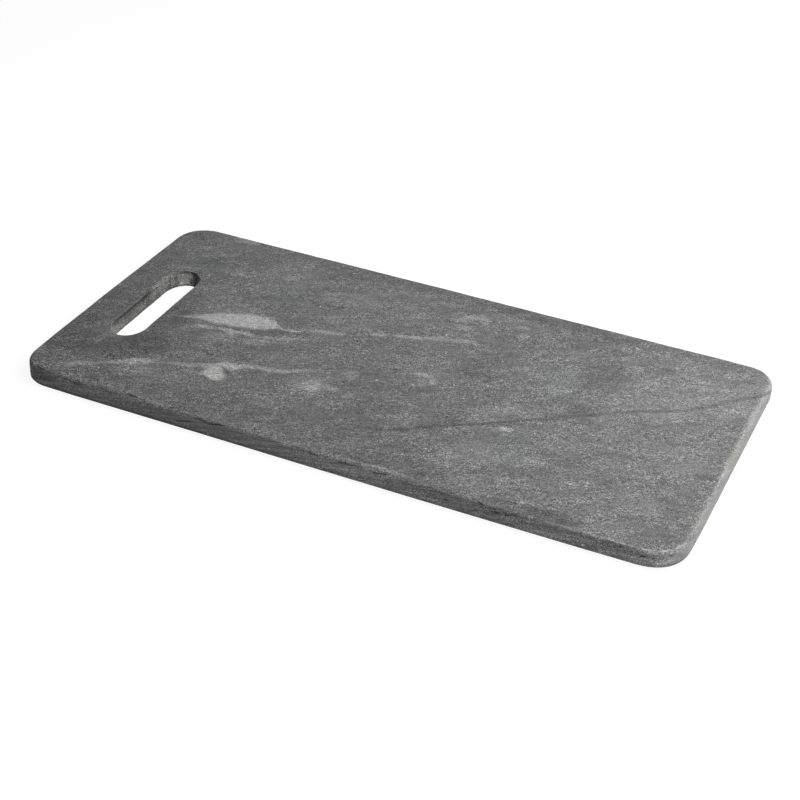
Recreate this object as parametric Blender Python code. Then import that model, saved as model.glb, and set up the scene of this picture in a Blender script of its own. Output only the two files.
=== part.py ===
"""Stone cutting board: one honed slab with a hand slot, standing on four stick-on feet.

The board lies flat with its length along X, the hand slot at the -X end, its front edge
towards -Y and its working face up. The origin is on the worktop under the board's centre.
"""

import math

import bmesh
import bpy
from mathutils import Vector

# Slab, in metres
BOARD_LENGTH = 0.400
BOARD_WIDTH = 0.200
BOARD_THICKNESS = 0.011

# Corner radii in plan, each ground by hand, named by the end they are on
CORNER_BACK_PLAIN_END = 0.0178
CORNER_BACK_SLOT_END = 0.0205
CORNER_FRONT_SLOT_END = 0.0198
CORNER_FRONT_PLAIN_END = 0.0230

# Radii of the rounded-over edges
TOP_EASE = 0.0022
TOP_EASE_PLAIN_END = 0.0040
BOTTOM_EASE = 0.0015

# Hand slot, a long hole with round ends that lies across the board
SLOT_LENGTH = 0.0848
SLOT_WIDTH = 0.0212
SLOT_CENTRE_FROM_END = 0.0337
SLOT_CENTRE_TO_FRONT = 0.0009
SLOT_TOP_EASE = 0.0015
SLOT_BOTTOM_EASE = 0.0010

# Feet, low rubber buttons held by an adhesive film
FOOT_DIAMETER = 0.0100
FOOT_HEIGHT = 0.0020
FOOT_RIM_RADIUS = 0.0006
FOOT_SIDE_TAPER = 0.0004
FOOT_FROM_EDGE = 0.0250
ADHESIVE_GAP = 0.0003

# Facets in each round stretch
CORNER_STEPS = 10
SLOT_END_STEPS = 18
EASE_STEPS = 4
FOOT_SIDES = 32
FOOT_RIM_STEPS = 4

# Finishes: colour, roughness
STONE_FINISH = ((0.165, 0.165, 0.168, 1.0), 0.62)
RUBBER_FINISH = ((0.020, 0.020, 0.021, 1.0), 0.70)

SLAB_UNDERSIDE = FOOT_HEIGHT + ADHESIVE_GAP
SLAB_TOP = SLAB_UNDERSIDE + BOARD_THICKNESS


def clear_scene():
    """Remove every object that the scene starts with."""
    for existing in list(bpy.data.objects):
        bpy.data.objects.remove(existing, do_unlink=True)


def make_material(name, finish):
    """Return a non-metallic Principled material of the given colour and roughness."""
    colour, roughness = finish
    material = bpy.data.materials.new(name)
    material.use_nodes = True
    shader = material.node_tree.nodes["Principled BSDF"]
    shader.inputs["Base Color"].default_value = colour
    shader.inputs["Roughness"].default_value = roughness
    shader.inputs["Metallic"].default_value = 0.0
    material.diffuse_color = colour
    return material


def arc(centre, radius, start, sweep, steps):
    """Return (point, radial direction) pairs along an arc, both of its ends included."""
    pairs = []
    for step in range(steps + 1):
        angle = start + sweep * step / steps
        radial = Vector((math.cos(angle), math.sin(angle)))
        pairs.append((centre + radius * radial, radial))
    return pairs


def board_outline():
    """Return the slab's outline, anticlockwise, as points with directions out of the stone.

    Four quarter arcs of unlike radius, joined by the straight edges between them.
    """
    half_length = BOARD_LENGTH / 2
    half_width = BOARD_WIDTH / 2
    corners = [
        (1, 1, CORNER_BACK_PLAIN_END),
        (-1, 1, CORNER_BACK_SLOT_END),
        (-1, -1, CORNER_FRONT_SLOT_END),
        (1, -1, CORNER_FRONT_PLAIN_END),
    ]
    pairs = []
    for quarter, (side_x, side_y, radius) in enumerate(corners):
        centre = Vector((side_x * (half_length - radius), side_y * (half_width - radius)))
        pairs += arc(centre, radius, quarter * math.pi / 2, math.pi / 2, CORNER_STEPS)
    return pairs


def slot_outline():
    """Return the slot's outline, anticlockwise, as points with directions out of the stone.

    Two half circles as wide as the slot, joined by its straight sides. Out of the stone is
    towards the middle of the slot.
    """
    end_radius = SLOT_WIDTH / 2
    reach = SLOT_LENGTH / 2 - end_radius
    centre = Vector((SLOT_CENTRE_FROM_END - BOARD_LENGTH / 2, -SLOT_CENTRE_TO_FRONT))
    pairs = []
    for side_y, start in ((1, 0.0), (-1, math.pi)):
        end_centre = centre + Vector((0.0, side_y * reach))
        pairs += arc(end_centre, end_radius, start, math.pi, SLOT_END_STEPS)
    return [(point, -radial) for point, radial in pairs]


def board_top_ease(direction):
    """Return the radius of the slab's upper edge where the outline faces a direction.

    The plain end is rounded more than the rest, and the radius grows to it round both corners.
    """
    towards_plain_end = max(direction.x, 0.0) ** 2
    return TOP_EASE + (TOP_EASE_PLAIN_END - TOP_EASE) * towards_plain_end


def eased_section(top_ease, bottom_ease):
    """Return (set-back into the stone, height) pairs up a wall with both edges rounded over."""
    section = []
    for step in range(EASE_STEPS + 1):
        angle = math.pi / 2 * step / EASE_STEPS
        setback = bottom_ease * (1 - math.sin(angle))
        section.append((setback, SLAB_UNDERSIDE + bottom_ease * (1 - math.cos(angle))))
    for step in range(EASE_STEPS + 1):
        angle = math.pi / 2 * step / EASE_STEPS
        setback = top_ease * (1 - math.cos(angle))
        section.append((setback, SLAB_TOP - top_ease * (1 - math.sin(angle))))
    return section


def loft_wall(mesh, outline, top_ease_at, bottom_ease):
    """Carry an eased section round an outline and return its lowest and highest edge loops."""
    sections = [eased_section(top_ease_at(direction), bottom_ease) for _, direction in outline]
    loops = []
    for level in range(len(sections[0])):
        ring = []
        for (point, direction), section in zip(outline, sections):
            setback, height = section[level]
            place = point - setback * direction
            ring.append(mesh.verts.new((place.x, place.y, height)))
        loops.append([mesh.edges.new(pair) for pair in zip(ring, ring[1:] + ring[:1])])
    for lower, upper in zip(loops, loops[1:]):
        bmesh.ops.bridge_loops(mesh, edges=lower + upper)
    return loops[0], loops[-1]


def new_object(name, mesh, material):
    """Put a bmesh into a named, smooth-shaded object with one material, and return it."""
    bmesh.ops.recalc_face_normals(mesh, faces=mesh.faces)
    data = bpy.data.meshes.new(name)
    mesh.to_mesh(data)
    mesh.free()
    data.materials.append(material)
    data.shade_smooth()
    data.set_sharp_from_angle(angle=math.radians(40))
    piece = bpy.data.objects.new(name, data)
    bpy.context.collection.objects.link(piece)
    return piece


def make_slab(material):
    """Build the slab: outer wall and slot wall, closed by a flat face above and below."""
    mesh = bmesh.new()
    outer_low, outer_high = loft_wall(mesh, board_outline(), board_top_ease, BOTTOM_EASE)
    slot_low, slot_high = loft_wall(mesh, slot_outline(), lambda _: SLOT_TOP_EASE, SLOT_BOTTOM_EASE)
    for rim in (outer_low + slot_low, outer_high + slot_high):
        bmesh.ops.triangle_fill(mesh, edges=rim, use_beauty=True)
    return new_object("stone_slab", mesh, material)


def foot_profile():
    """Return (radius, height) pairs down one foot, from the slab to the worktop.

    A flat top, a side that draws in a little, a round lower rim and a flat tread.
    """
    top_radius = FOOT_DIAMETER / 2
    low_radius = top_radius - FOOT_SIDE_TAPER
    profile = [(0.0, FOOT_HEIGHT), (top_radius, FOOT_HEIGHT)]
    for step in range(FOOT_RIM_STEPS + 1):
        angle = math.pi / 2 * step / FOOT_RIM_STEPS
        radius = low_radius - FOOT_RIM_RADIUS * (1 - math.cos(angle))
        profile.append((radius, FOOT_RIM_RADIUS * (1 - math.sin(angle))))
    profile.append((0.0, 0.0))
    return profile


def make_foot(name, side_x, side_y, material):
    """Build one foot, turned about its own axis, in from two edges of the board."""
    mesh = bmesh.new()
    verts = [mesh.verts.new((radius, 0.0, height)) for radius, height in foot_profile()]
    edges = [mesh.edges.new(pair) for pair in zip(verts, verts[1:])]
    bmesh.ops.spin(
        mesh,
        geom=verts + edges,
        axis=(0.0, 0.0, 1.0),
        cent=(0.0, 0.0, 0.0),
        angle=2 * math.pi,
        steps=FOOT_SIDES,
        use_merge=True,
    )
    bmesh.ops.remove_doubles(mesh, verts=mesh.verts, dist=1e-6)
    foot = new_object(name, mesh, material)
    foot.location.x = side_x * (BOARD_LENGTH / 2 - FOOT_FROM_EDGE)
    foot.location.y = side_y * (BOARD_WIDTH / 2 - FOOT_FROM_EDGE)
    return foot


def build():
    """Model the slab and its four feet."""
    clear_scene()
    make_slab(make_material("stone", STONE_FINISH))
    rubber = make_material("rubber", RUBBER_FINISH)
    for side_y, row in ((-1, "front"), (1, "back")):
        for side_x, side in ((-1, "left"), (1, "right")):
            make_foot(f"foot_{row}_{side}", side_x, side_y, rubber)


build()
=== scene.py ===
"""Stone cutting board with a hand slot: its finished surfaces, finishes, light and camera.

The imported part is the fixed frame. Lengths are in metres, the board lies along X with its
hand slot at the -X end, its front edge faces -Y, and Z is up from the worktop.
"""

import logging
import math
from collections.abc import Sequence
from dataclasses import dataclass, field
from enum import Enum
from functools import cached_property

import bpy
import numpy as np
from mathutils import Matrix, Vector


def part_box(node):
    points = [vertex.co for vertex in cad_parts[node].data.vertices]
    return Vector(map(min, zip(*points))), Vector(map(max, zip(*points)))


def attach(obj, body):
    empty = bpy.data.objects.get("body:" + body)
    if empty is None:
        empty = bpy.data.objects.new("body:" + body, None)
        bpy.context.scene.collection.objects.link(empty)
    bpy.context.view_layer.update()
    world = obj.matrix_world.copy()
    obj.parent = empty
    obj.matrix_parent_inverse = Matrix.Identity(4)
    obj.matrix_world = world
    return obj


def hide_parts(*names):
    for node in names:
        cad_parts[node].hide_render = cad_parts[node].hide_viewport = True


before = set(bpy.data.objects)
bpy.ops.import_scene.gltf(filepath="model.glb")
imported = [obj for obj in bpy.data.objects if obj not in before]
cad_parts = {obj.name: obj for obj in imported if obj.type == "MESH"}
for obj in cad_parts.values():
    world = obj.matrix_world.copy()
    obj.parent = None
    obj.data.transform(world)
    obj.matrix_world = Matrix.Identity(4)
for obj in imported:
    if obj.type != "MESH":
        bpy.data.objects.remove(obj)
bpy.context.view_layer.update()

MM = 0.001
BODY = "root"
LOG = logging.getLogger("stone_board")

Array = np.ndarray
Socket = bpy.types.NodeSocket
Value = float | Socket
Span = tuple[float, float]

# Bedding of the stone: the strike of its layers in plan, and how fast they climb across it
STRIKE = math.radians(27.0)
ACROSS = np.array([-math.sin(STRIKE), math.cos(STRIKE)])
DIP = 2.3

# Step between the parts of the noise that two seeds pick, in lumps, and the seed's shift along each axis
NOISE_STEP = 101.7
NOISE_SHIFTS = (1, 5, 9)

# Step between the parts of the crystals that two seeds pick, in millimetres
CELL_STEP = 37.3

# The value that the endless noise has on average
NOISE_MIDDLE = 0.5

# Numbers of a colour mix's two inputs and of its output
MIX_FIRST, MIX_SECOND, MIX_RESULT = 6, 7, 2

# Shares of its half sizes at which a patch has faded out, and within which it is full
PATCH_END = 1.5
PATCH_FULL = 0.4

# Levels in the lower edge, the straight wall and the upper edge of the two walls of the slab
OUTER_LEVELS = (5, 15, 12)
SLOT_LEVELS = (4, 9, 8)

# Distances of a face's first rings from the edge they leave and its last from the edge they reach, in mm
NEAR_EDGE = (0.35, 0.8, 1.4, 2.2, 3.6)
NEAR_LOWER_EDGE = NEAR_EDGE[:2]
NEAR_END = (3.0, 1.0, 0.3)

# Rings that are spread evenly over the working face and over the underside
FACE_RINGS = 6
UNDERSIDE_RINGS = 3

# Laps of random curves that need not close: in metres, and in millimetres along the front edge
OPEN_LAP = 1.0
NOTCH_LAP = 400.0

# Added to where a flake starts, in millimetres, to make its seed
NOTCH_SEED = 100.0

# Least divisor
TINY = 1e-9


# Helpers for curves and grids


def smoothstep(low: float, high: float, value: Array) -> Array:
    """Return the cubic ease from 0 at low to 1 at high: 3t^2 - 2t^3 with t clipped to 0..1.

    Args:
        low: Where the ease starts.
        high: Where it ends; it may be less than low for a falling ease.
        value: Places to evaluate.

    Returns:
        The eased values, of the same shape as value.
    """
    t = np.clip((value - low) / (high - low), 0.0, 1.0)
    return t * t * (3.0 - 2.0 * t)


def blend(first: Array | float, second: Array | float, share: Array) -> Array:
    """Return the straight blend of two values, all the second where the share is 1."""
    return first + (second - first) * share


def between(value: Array, rise: Span, fall: Span) -> Array:
    """Return a stretch that eases in over one span and out over another."""
    return smoothstep(*rise, value) * smoothstep(*fall, value)


def bell(value: Array, middle: float, half: float) -> Array:
    """Return a bell round a middle: exp(-t^2), where t counts half widths from it."""
    return np.exp(-(((value - middle) / half) ** 2))


@dataclass(frozen=True)
class Ripple:
    """A smooth random curve that closes on itself after one lap.

    Random heights stand about a period apart, and a cubic ease joins each to the next.
    """

    period: float
    seed: int
    reach: float = 1.0

    def at(self, place: Array, lap: float) -> Array:
        """Return the curve's heights, from -reach to reach.

        Args:
            place: Distances along the lap.
            lap: Length after which the curve repeats.

        Returns:
            Heights, of the same shape as place.
        """
        count = max(3, round(lap / self.period))
        heights = np.random.default_rng(self.seed).uniform(-1.0, 1.0, count)
        cell = place / lap * count
        index = np.floor(cell).astype(int)
        share = smoothstep(0.0, 1.0, cell - index)
        curve = heights[index % count] * (1.0 - share) + heights[(index + 1) % count] * share
        return self.reach * curve

    def factor(self, place: Array, lap: float) -> Array:
        """Return the curve as a factor that reaches 1 at the most."""
        return 1.0 - self.reach + self.at(place, lap)


def grid_faces(rows: int, columns: int, rows_close: bool) -> Array:
    """Return the four vertex numbers of each face of a grid whose columns close into rings.

    Vertex (r, c) has number r * columns + c, and the last column meets the first.

    Args:
        rows: Number of rows.
        columns: Number of columns.
        rows_close: Whether the last row meets the first too.

    Returns:
        An array of shape (faces, 4).
    """
    number = np.arange(rows * columns).reshape(rows, columns)
    right = np.roll(number, -1, axis=1)
    above = np.roll(number, -1, axis=0)
    corner = np.roll(right, -1, axis=0)
    faces = np.stack([number, right, corner, above], axis=-1)
    return (faces if rows_close else faces[:-1]).reshape(-1, 4)


def mesh_object(name: str, places: Array, quads: Array, caps: Sequence[Array] = ()) -> bpy.types.Object:
    """Put points and faces into a smooth-shaded object at the origin.

    Args:
        name: The object's and mesh's name.
        places: Points, of shape (n, 3).
        quads: Vertex numbers of the faces with four corners, of shape (m, 4).
        caps: Vertex numbers of any faces with more corners.

    Returns:
        The linked object.
    """
    corners = np.concatenate([quads.ravel(), *caps]).astype(np.int32)
    sides = np.array([4] * len(quads) + [len(cap) for cap in caps], dtype=np.int32)
    mesh = bpy.data.meshes.new(name)
    mesh.vertices.add(len(places))
    mesh.vertices.foreach_set("co", places.astype(np.float32).ravel())
    mesh.loops.add(len(corners))
    mesh.loops.foreach_set("vertex_index", corners)
    mesh.polygons.add(len(sides))
    mesh.polygons.foreach_set("loop_start", np.cumsum(sides, dtype=np.int32) - sides)
    mesh.update(calc_edges=True)
    mesh.validate()
    mesh.shade_smooth()
    piece = bpy.data.objects.new(name, mesh)
    bpy.context.collection.objects.link(piece)
    return piece


def point_attribute(piece: bpy.types.Object, name: str, values: Array) -> None:
    """Store one number per vertex on a piece, for its material to read by name."""
    attribute = piece.data.attributes.new(name, "FLOAT", "POINT")
    attribute.data.foreach_set("value", values.astype(np.float32).ravel())


# Node trees


@dataclass(frozen=True)
class Lumps:
    """Cloudy noise or crystals: sizes along three axes, and the turn of those axes about Z.

    The seed picks a part of the endless pattern. The detail counts finer octaves of noise, and
    the roughness says how strong each is beside the one before.
    """

    size: tuple[float, float, float]
    seed: int
    turn: float = 0.0
    detail: float = 2.0
    roughness: float = 0.5


class Graph:
    """A node tree written as expressions on sockets."""

    def __init__(self, tree: bpy.types.NodeTree) -> None:
        """Keep the tree that the expressions go into."""
        self.tree = tree

    def feed(self, target: Socket, value: object) -> None:
        """Link a socket into another, or set a plain value on it.

        Args:
            target: The input.
            value: The socket or the plain value.
        """
        if isinstance(value, Socket):
            self.tree.links.new(value, target)
        else:
            target.default_value = value

    def node(self, kind: str, *values: object, **settings: object) -> bpy.types.Node:
        """Add a node with its settings, and feed its inputs in their order.

        Args:
            kind: The node's type.
            values: A socket or plain value for each input, or None to leave one as it is.
            settings: The node's own settings by name.

        Returns:
            The node.
        """
        node = self.tree.nodes.new(kind)
        for name, value in settings.items():
            setattr(node, name, value)
        for target, value in zip(node.inputs, values):
            if value is not None:
                self.feed(target, value)
        return node

    def math(self, operation: str, *values: Value) -> Socket:
        """Return one operation of the Math node on numbers."""
        return self.node("ShaderNodeMath", *values, operation=operation).outputs[0]

    def product(self, first: Value, *others: Value) -> Value:
        """Return the product of numbers.

        Args:
            first: The first number.
            others: The numbers that it is multiplied by.

        Returns:
            The product.
        """
        for other in others:
            first = self.math("MULTIPLY", first, other)
        return first

    def swayed(self, base: Value, value: Socket, middle: float, gain: Value) -> Socket:
        """Return base + gain * (value - middle)."""
        return self.math("MULTIPLY_ADD", self.math("SUBTRACT", value, middle), gain, base)

    def scaled(self, vector: Socket, factor: Value) -> Socket:
        """Return a vector times a number."""
        return self.node("ShaderNodeVectorMath", vector, None, None, factor, operation="SCALE").outputs[0]

    def place(self) -> Socket:
        """Return the place on the piece in millimetres, from its Object coordinates."""
        return self.scaled(self.node("ShaderNodeTexCoord").outputs["Object"], 1.0 / MM)

    def separate(self, vector: Socket) -> tuple[Socket, ...]:
        """Return a vector's three numbers."""
        return tuple(self.node("ShaderNodeSeparateXYZ", vector).outputs)

    def combine(self, x: Value, y: Value, z: Value) -> Socket:
        """Return a vector of three numbers."""
        return self.node("ShaderNodeCombineXYZ", x, y, z).outputs[0]

    def ramp(self, value: Socket, low: float, high: float, start: float = 0.0, end: float = 1.0) -> Socket:
        """Return a cubic ease from start, where the value is low, to end, where it is high.

        Args:
            value: What is eased.
            low: Where the ease starts; it may be more than high.
            high: Where the ease ends.
            start: Result at low and beyond.
            end: Result at high and beyond.

        Returns:
            The eased number.
        """
        limits = (low, high, start, end) if low < high else (high, low, end, start)
        node = self.node("ShaderNodeMapRange", value, *limits, interpolation_type="SMOOTHSTEP")
        return node.outputs[0]

    def attribute(self, name: str) -> Socket:
        """Return the number that a piece keeps per vertex under a name."""
        return self.node("ShaderNodeAttribute", attribute_name=name).outputs["Fac"]

    def fitted(self, vector: Socket, centre: Sequence[float], lumps: Lumps) -> Socket:
        """Return a place as seen from a turned box: 0 at its centre and 1 at the lumps' sizes."""
        values = vector, centre, (0.0, 0.0, lumps.turn), lumps.size
        return self.node("ShaderNodeMapping", *values, vector_type="TEXTURE").outputs[0]

    def noise(self, vector: Socket, lumps: Lumps) -> Socket:
        """Return cloudy noise in 0..1.

        Args:
            vector: The place.
            lumps: The noise's sizes and make.

        Returns:
            The noise.
        """
        steps = [NOISE_STEP * (lumps.seed + shift) for shift in NOISE_SHIFTS]
        local = self.fitted(vector, [step * side for step, side in zip(steps, lumps.size)], lumps)
        node = self.node("ShaderNodeTexNoise", local, None, 1.0, lumps.detail, lumps.roughness)
        return node.outputs["Fac"]

    def cells(self, vector: Socket, lumps: Lumps) -> tuple[Socket, Socket]:
        """Return a random number in 0..1 for the crystal that a place is in, and how far its middle is.

        Args:
            vector: The place.
            lumps: The crystals' sizes.

        Returns:
            The crystal's number, and the distance to its middle over its size.
        """
        local = self.fitted(vector, (CELL_STEP * lumps.seed,) * 3, lumps)
        node = self.node("ShaderNodeTexVoronoi", local, None, 1.0)
        split = self.node("ShaderNodeSeparateColor", node.outputs["Color"])
        return split.outputs[0], node.outputs["Distance"]

    def curve(self, value: Socket, places: Array, heights: Array) -> Socket:
        """Return the height, at a value, of a smooth curve through stations in 0..1 both ways.

        Args:
            value: Where the curve is read.
            places: Places of the stations, from 0 to 1.
            heights: Their heights, from 0 to 1.

        Returns:
            The height.
        """
        node = self.node("ShaderNodeFloatCurve", None, value)
        node.mapping.extend = "HORIZONTAL"
        points = node.mapping.curves[0].points
        for _ in places[2:]:
            points.new(0.5, 0.5)
        for point, station in zip(points, zip(places.tolist(), heights.tolist())):
            point.location = station
            point.handle_type = "AUTO_CLAMPED"
        node.mapping.update()
        return node.outputs[0]

    def mix_colour(self, factor: Value, first: object, second: object) -> Socket:
        """Return the blend of two colours.

        Args:
            factor: Share of the second colour.
            first: The first colour.
            second: The second colour.

        Returns:
            The blended colour.
        """
        node = self.node("ShaderNodeMix", factor, data_type="RGBA")
        self.feed(node.inputs[MIX_FIRST], first)
        self.feed(node.inputs[MIX_SECOND], second)
        return node.outputs[MIX_RESULT]

    def bump(self, height: Socket, strength: float, distance: float) -> Socket:
        """Return directions that a height field of some strength and depth bends."""
        return self.node("ShaderNodeBump", strength, distance, None, height).outputs[0]


def new_material(name: str) -> tuple[bpy.types.Material, Graph, bpy.types.Node]:
    """Make a material.

    Args:
        name: Its name.

    Returns:
        The material, its graph and its Principled shader.
    """
    material = bpy.data.materials.new(name)
    material.use_nodes = True
    return material, Graph(material.node_tree), material.node_tree.nodes["Principled BSDF"]


# Finishes


class Tint(Enum):
    """Casts that the stone takes, as factors on its red, green and blue."""

    GREY = (1.0, 1.0, 1.0)
    CREAM = (1.01, 1.008, 0.98)
    OLIVE = (1.015, 1.015, 0.955)
    GREEN = (0.955, 1.005, 0.985)


class Shade(Enum):
    """Whether a marking is lighter or darker than the stone round it."""

    PALE = "pale"
    DARK = "dark"


@dataclass(frozen=True)
class Bed:
    """Where the layer of a place comes out on the working face, in millimetres, and as one vector."""

    graph: Graph
    x: Socket
    y: Socket
    layer: Socket


@dataclass(frozen=True)
class Vein:
    """A streak along the bedding, drawn on the working face in millimetres.

    Each station is (x, y, half width, strength), from the slot end to the plain end.
    """

    shade: Shade
    stations: tuple[tuple[float, float, float, float], ...]
    edge: float

    def mask(self, bed: Bed) -> Socket:
        """Return the vein's strength: full within its half width of the centre line, eased to 0 past it.

        Args:
            bed: The place on the bedding.

        Returns:
            The strength, 0 off the vein.
        """
        graph = bed.graph
        x, y, width, strength = (np.array(column) for column in zip(*self.stations))
        length, rise = x[-1] - x[0], y.max() - y.min()
        run = (x - x[0]) / length
        along = graph.math("MULTIPLY_ADD", bed.x, 1.0 / length, -x[0] / length)
        climb = graph.curve(along, run, (y - y.min()) / rise)
        centre = graph.math("MULTIPLY_ADD", climb, rise, y.min())
        away = graph.math("ABSOLUTE", graph.math("SUBTRACT", bed.y, centre))
        swell = graph.curve(along, run, width / width.max())
        share = graph.math("DIVIDE", away, graph.product(swell, width.max()))
        inside = graph.ramp(share, 1.0 + self.edge, 1.0 - self.edge)
        return graph.product(inside, graph.curve(along, run, strength))


@dataclass(frozen=True)
class Patch:
    """A soft oval marking on the working face: middle, half sizes and turn in millimetres and degrees."""

    shade: Shade
    x: float
    y: float
    long: float
    wide: float
    turn: float
    strength: float
    tint: Tint

    def mask(self, bed: Bed, strength: float) -> Socket:
        """Return a strength in the middle of the patch, eased to 0 outwards.

        Args:
            bed: The place on the bedding.
            strength: The result in the middle.

        Returns:
            The strength, 0 off the patch.
        """
        graph, turn = bed.graph, math.radians(self.turn)
        squares: Value = 0.0
        for half, bearing in ((self.long, turn), (self.wide, turn + math.pi / 2)):
            to_x, to_y = math.cos(bearing) / half, math.sin(bearing) / half
            sideways = graph.math("MULTIPLY_ADD", bed.y, to_y, -self.x * to_x - self.y * to_y)
            local = graph.math("MULTIPLY_ADD", bed.x, to_x, sideways)
            squares = graph.math("MULTIPLY_ADD", local, local, squares)
        return graph.ramp(squares, PATCH_END**2, PATCH_FULL**2, 0.0, strength)


def patches(shade: Shade, *rows: tuple[float, ...], tint: Tint = Tint.GREY) -> tuple[Patch, ...]:
    """Return a patch for each row of x, y, half sizes, turn and strength, all of one shade and tint."""
    return tuple(Patch(shade, *row, tint) for row in rows)


PALE, DARK = Shade.PALE, Shade.DARK

VEINS = (
    # Pale lens beside the slot
    Vein(PALE, (
        (-152, -11.4, 0.8, 0.0), (-146, -9.4, 1.0, 0.4), (-141, -7.0, 1.6, 0.55), (-135, -4.2, 2.4, 0.66),
        (-130, -2.1, 4.1, 0.84), (-125, -0.4, 5.8, 0.93), (-120, 0.9, 6.8, 1.0), (-115, 2.9, 7.7, 0.97),
        (-110, 4.5, 8.6, 1.0), (-105, 5.7, 8.4, 1.0), (-100, 6.0, 8.0, 0.97), (-95, 6.7, 7.2, 0.95),
        (-90, 7.4, 5.2, 0.9), (-86, 7.7, 2.6, 0.6), (-83, 7.6, 1.4, 0.0),
    ), edge=0.38),
    # Thin streak that carries the lens on towards the back
    Vein(PALE, (
        (-88, 7.2, 1.2, 0.0), (-80, 7.8, 1.6, 0.46), (-70, 10.3, 1.6, 0.4), (-67.5, 12.0, 1.4, 0.12),
        (-63, 14.4, 1.8, 0.39), (-53, 16.8, 2.0, 0.5), (-47, 18.8, 1.8, 0.4), (-43, 20.5, 1.3, 0.05),
        (-33, 26.5, 1.4, 0.1), (-29, 28.5, 2.4, 0.45), (-25, 29.6, 2.2, 0.4), (-22, 31.0, 1.4, 0.15),
        (-18, 32.3, 1.9, 0.45), (-10, 34.5, 1.9, 0.5), (-3, 36.8, 1.8, 0.34), (3, 40.2, 2.4, 0.32),
        (12, 42.2, 2.5, 0.26), (20, 44.6, 2.8, 0.28), (25, 45.6, 2.6, 0.2), (31, 47.0, 2.4, 0.0),
    ), edge=0.6),
    # Broken streak in front of the lens
    Vein(PALE, (
        (-132, -14.0, 1.2, 0.0), (-127, -12.8, 1.5, 0.3), (-122, -12.6, 2.0, 0.5),
        (-117, -10.8, 1.7, 0.35), (-112, -10.2, 1.9, 0.45), (-107, -10.4, 2.4, 0.66),
        (-102, -8.8, 1.8, 0.5), (-97, -8.0, 1.9, 0.55), (-91, -8.2, 1.4, 0.25), (-84, -6.2, 1.8, 0.32),
        (-75, -2.9, 1.9, 0.48), (-69, -0.8, 1.6, 0.28), (-62, 2.0, 1.4, 0.12), (-54, 5.0, 1.0, 0.0),
    ), edge=0.6),
    # Long wavy vein from the front corner
    Vein(PALE, (
        (-180, -90.5, 1.6, 0.0), (-174, -86.5, 2.4, 0.35), (-168, -82.2, 2.6, 0.53),
        (-162, -79.0, 2.1, 0.45), (-157, -75.8, 1.9, 0.24), (-151, -71.4, 2.6, 0.36),
        (-144, -66.6, 2.9, 0.55), (-137, -63.4, 3.0, 0.7), (-131, -61.6, 2.2, 0.45),
        (-126, -59.4, 1.8, 0.2), (-119, -56.2, 2.0, 0.45), (-113, -55.0, 2.2, 0.5),
        (-104, -51.6, 2.0, 0.42), (-98, -48.4, 2.5, 0.52), (-93, -45.4, 2.7, 0.82),
        (-85, -44.4, 2.9, 0.78), (-80, -41.0, 2.2, 0.5), (-70, -37.4, 1.8, 0.4), (-58, -34.5, 2.1, 0.44),
        (-50, -28.9, 2.1, 0.3), (-44, -25.8, 1.8, 0.22), (-37, -22.6, 1.4, 0.0),
    ), edge=0.6),
    Vein(PALE, (
        (-146, -84, 1.2, 0.0), (-137, -80, 1.6, 0.2), (-126, -75.5, 1.5, 0.16), (-116, -71, 1.5, 0.16),
        (-102, -66, 1.2, 0.0),
    ), edge=0.7),
    # Dark seam that crosses the plain half, with a small jog
    Vein(DARK, (
        (-6, -62.5, 2.2, 0.0), (6, -63.4, 2.2, 0.22), (16, -63.4, 2.0, 0.34), (26, -58.6, 1.8, 0.34),
        (38, -49.2, 1.7, 0.33), (50, -41.0, 1.6, 0.35), (60, -35.0, 1.6, 0.35), (70, -28.0, 1.7, 0.36),
        (81, -20.4, 1.7, 0.37), (92, -12.2, 2.0, 0.34), (104, -3.8, 2.4, 0.34), (113, 2.8, 2.2, 0.36),
        (121, 8.4, 1.7, 0.3), (124.5, 10.8, 1.5, 0.06), (127.5, 13.4, 1.8, 0.38), (136, 18.6, 1.6, 0.38),
        (147.5, 25.7, 1.5, 0.38), (160, 33.6, 1.7, 0.38), (172, 43.1, 2.4, 0.33), (180, 52.7, 2.8, 0.36),
        (188, 60.8, 2.6, 0.37), (196, 68.6, 2.1, 0.42), (206, 78.0, 2.2, 0.42),
    ), edge=0.85),
)

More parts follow.
